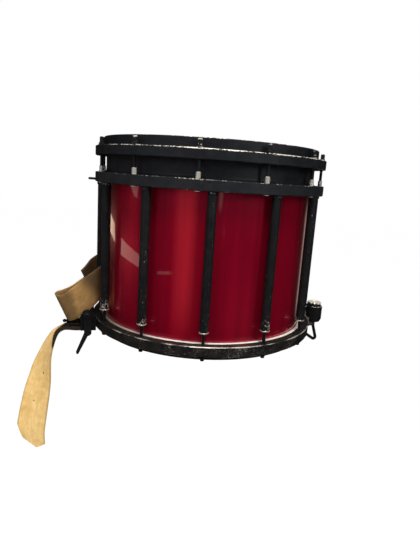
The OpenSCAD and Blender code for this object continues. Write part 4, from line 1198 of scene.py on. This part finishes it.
@dataclass
class Studio:
    """Floor, soft lamps, the dark tent, lit cards and the camera.

    Attributes:
        floor_z: height of the floor in metres, with the drum at hip height.
        floor_glow, glow_share: how bright the floor's glow is to rays that see it, and its share there.
        place: the camera's place in metres.
        pitch, roll, yaw: its angles in degrees.
        lens, sensor: its focal length and the width of its sensor in mm.
        shift: its sideways and upward shift.
        surround: how bright the surround is for rays that only light the drum, 1 being white.
        tent_r, tent_tall: radius and height of the tent in metres.
        aim: the place that the lamps face, in metres.
    """

    floor_z: float = -0.9
    floor_glow: float = 1.08
    glow_share: float = 0.9
    place: Point = (0.0, -0.85679, 0.27038)
    pitch: float = 12.47
    roll: float = 3.93
    yaw: float = 1.27
    lens: float = 30.72
    sensor: float = 36.0
    shift: tuple[float, float] = (-0.0071, 0.0031)
    surround: float = 0.26
    tent_r: float = 3.0
    tent_tall: float = 3.7
    aim: Point = (0.0, 0.0, 0.14)

    def camera(self) -> None:
        """Sets the camera where the photo was taken from."""
        t, r, y = (math.radians(a) for a in (self.pitch, self.roll, self.yaw))
        ahead = Vector((math.sin(y) * math.cos(t), math.cos(y) * math.cos(t), -math.sin(t)))
        right = Vector((math.cos(y), -math.sin(y), 0))
        up = right.cross(ahead)
        right, up = math.cos(r) * right + math.sin(r) * up, math.cos(r) * up - math.sin(r) * right
        lens = bpy.data.cameras.new("camera")
        lens.lens = self.lens
        lens.sensor_width = self.sensor
        lens.shift_x, lens.shift_y = self.shift
        lens.clip_start = 0.01
        eye = bpy.data.objects.new("camera", lens)
        turn = Matrix((right, up, -ahead)).transposed()
        eye.matrix_world = Matrix.Translation(self.place) @ turn.to_4x4()
        bpy.context.scene.collection.objects.link(eye)
        bpy.context.scene.camera = eye

    @staticmethod
    def _seen(tree: Tree) -> Socket:
        """Tells the rays that show the backdrop from those that only light the drum.

        Args:
            tree: the node tree.

        Returns:
            1 for camera, mirror and see-through rays.
        """
        path = tree.nodes.new("ShaderNodeLightPath")
        seen = add(tree, "Math", {0: path.outputs["Is Camera Ray"], 1: path.outputs["Is Glossy Ray"]},
                   operation="MAXIMUM")
        return add(tree, "Math", {0: seen, 1: path.outputs["Is Transmission Ray"]}, operation="MAXIMUM")

    def backdrop(self) -> None:
        """Sets a white surround and a pale floor."""
        world = bpy.data.worlds.new("studio")
        bpy.context.scene.world = world
        world.use_nodes = True
        tree = world.node_tree
        tree.nodes.clear()
        level = add(tree, "MapRange", {0: self._seen(tree), 3: self.surround, 4: 1.0})
        add(tree, "OutputWorld", {0: add(tree, "Background", {0: (1, 1, 1, 1), 1: level})})
        bpy.ops.object.select_all(action="DESELECT")
        bpy.ops.mesh.primitive_plane_add(size=30, location=(0, 0, self.floor_z))
        floor = bpy.context.active_object
        floor.name = "floor"
        material, tree = new_material("pale_floor")
        paint = add(tree, "BsdfDiffuse", {0: linear("#F4F3F1")})
        glow = add(tree, "Emission", {0: (1, 1, 1, 1), 1: self.floor_glow})
        share = add(tree, "Math", {0: self._seen(tree), 1: self.glow_share}, operation="MULTIPLY")
        add(tree, "OutputMaterial", {0: add(tree, "MixShader", {0: share, 1: paint, 2: glow})})
        floor.data.materials.append(material)

    def tent(self) -> None:
        """Stands a dark tent round the drum, for the black and the lacquer to mirror."""
        bpy.ops.object.select_all(action="DESELECT")
        foot = self.floor_z + 0.01
        bpy.ops.mesh.primitive_cylinder_add(vertices=48, radius=self.tent_r, depth=self.tent_tall,
                                            location=(0, 0, foot + self.tent_tall / 2))
        tent = bpy.context.active_object
        tent.name = "dark_tent"
        bpy.ops.object.transform_apply(location=True, rotation=True, scale=True)
        material, tree = new_material("black_felt")
        add(tree, "OutputMaterial", {0: add(tree, "BsdfDiffuse", {0: linear("#161616")})})
        tent.data.materials.append(material)
        self._mirror_only(tent)

    @staticmethod
    def _mirror_only(thing: Piece) -> None:
        """Leaves a stage piece to mirror rays alone.

        Args:
            thing: the tent or a card.
        """
        thing.visible_camera = False
        thing.visible_shadow = False
        thing.visible_diffuse = False

    def cards(self) -> None:
        """Hangs the lit cards that show in the gloss: a broad soft one, and the windows of the room."""
        plan = (
            LitCard("broad_card", ((-35, -0.66), (-5, -0.66), (-8, 0.45), (-37, 0.45)),
                    "#FF7474", 0.85, 0.36),
            LitCard("door_edge", ((-32.2, -0.225), (-29.4, -0.22), (-31.3, 0.0), (-34.5, 0.0)),
                    "#FFD8C4", 0.5, 0.35),
            LitCard("lintel", ((9.5, 0.085), (14.2, 0.085), (15.4, 0.25), (9.0, 0.25)),
                    "#FFE0CE", 0.75, 0.35),
            LitCard("far_frame", ((18.2, -0.2), (20.6, -0.2), (17.4, 0.09), (15.2, 0.09)),
                    "#FFD8C4", 0.22, 0.4),
            LitCard("side_window", ((-133, -0.05), (-117, -0.1), (-119.5, 0.0), (-133, 0.047)),
                    "#FFE3C6", 2.1, 0.02),
            LitCard("low_window", ((-104, -0.155), (-73, -0.205), (-73, -0.14), (-104, -0.065)),
                    "#FFE0CE", 1.75, 0.03),
            LitCard("high_window", ((-84, 0.15), (-79, 0.137), (-76, 0.24), (-94, 0.24)),
                    "#FFE0CE", 1.1, 0.04),
            LitCard("shelf", ((-50.7, -0.228), (-30.5, -0.221), (-30.5, -0.201), (-50.7, -0.21)),
                    "#FFE6CC", 0.9, 0.1),
            LitCard("right_edge", ((134, -0.5), (164, -0.5), (164, 0.2), (134, 0.2)),
                    "#FFE6D8", 0.45, 0.2),
            LitCard("sky", ((-100, 0.24), (80, 0.24), (80, 0.75), (-100, 0.75)),
                    "#B8CCEE", 0.9, 0.3),
            LitCard("right_card", ((4, -1.0), (80, -1.0), (80, -0.02), (4, -0.02)),
                    "#FF8C8C", 0.14, 0.5),
        )
        for card in plan:
            self._mirror_only(card.build())

    def lamps(self) -> None:
        """Hangs the soft lamps, high enough to stay out of the shell's gloss in the photo's view."""
        # Name, place in metres, width and height in metres, power in watts
        plan = (
            ("key", (-1.2, -1.7, 1.2), 0.5, 1.0, 8.0),
            ("fill", (1.6, -1.4, 1.2), 0.5, 1.0, 18.0),
            ("front", (0.15, -1.05, 2.0), 0.5, 0.5, 30.0),
            ("overhead", (0.0, 0.2, 1.9), 1.1, 1.1, 18.0),
            ("side", (-1.9, -0.3, 1.0), 0.5, 0.9, 2.5),
        )
        for name, place, wide, tall, power in plan:
            lamp = bpy.data.lights.new(name, "AREA")
            lamp.shape = "RECTANGLE"
            lamp.size, lamp.size_y = wide, tall
            lamp.energy = power
            rig = bpy.data.objects.new(name, lamp)
            rig.location = place
            rig.rotation_euler = (Vector(self.aim) - Vector(place)).to_track_quat("-Z", "Y").to_euler()
            bpy.context.scene.collection.objects.link(rig)

    def build(self) -> None:
        """Sets up the whole studio."""
        bpy.context.scene.view_settings.view_transform = "Standard"
        self.camera()
        self.backdrop()
        self.tent()
        self.cards()
        self.lamps()


def main() -> None:
    """Builds the studio, the strap and every finish."""
    logging.basicConfig(level=logging.INFO)
    studio = Studio()
    studio.build()
    strap = Strap()
    strap.build()
    strap.dress()
    Hardware().dress()
    oxide = WornBlackCoat("black_oxide_threads", chips=0.7, grain_mm=1.2, rough=0.36).material()
    for threads in (RodThreads(RodRow.TOP, first=-35.0, circle=190.0, low=275.2, high=290.6),
                    RodThreads(RodRow.BOTTOM, first=-28.5, circle=187.5, low=25.4, high=43.4)):
        threads.build()
        threads.dress(oxide)


if __name__ == "__main__":
    main()
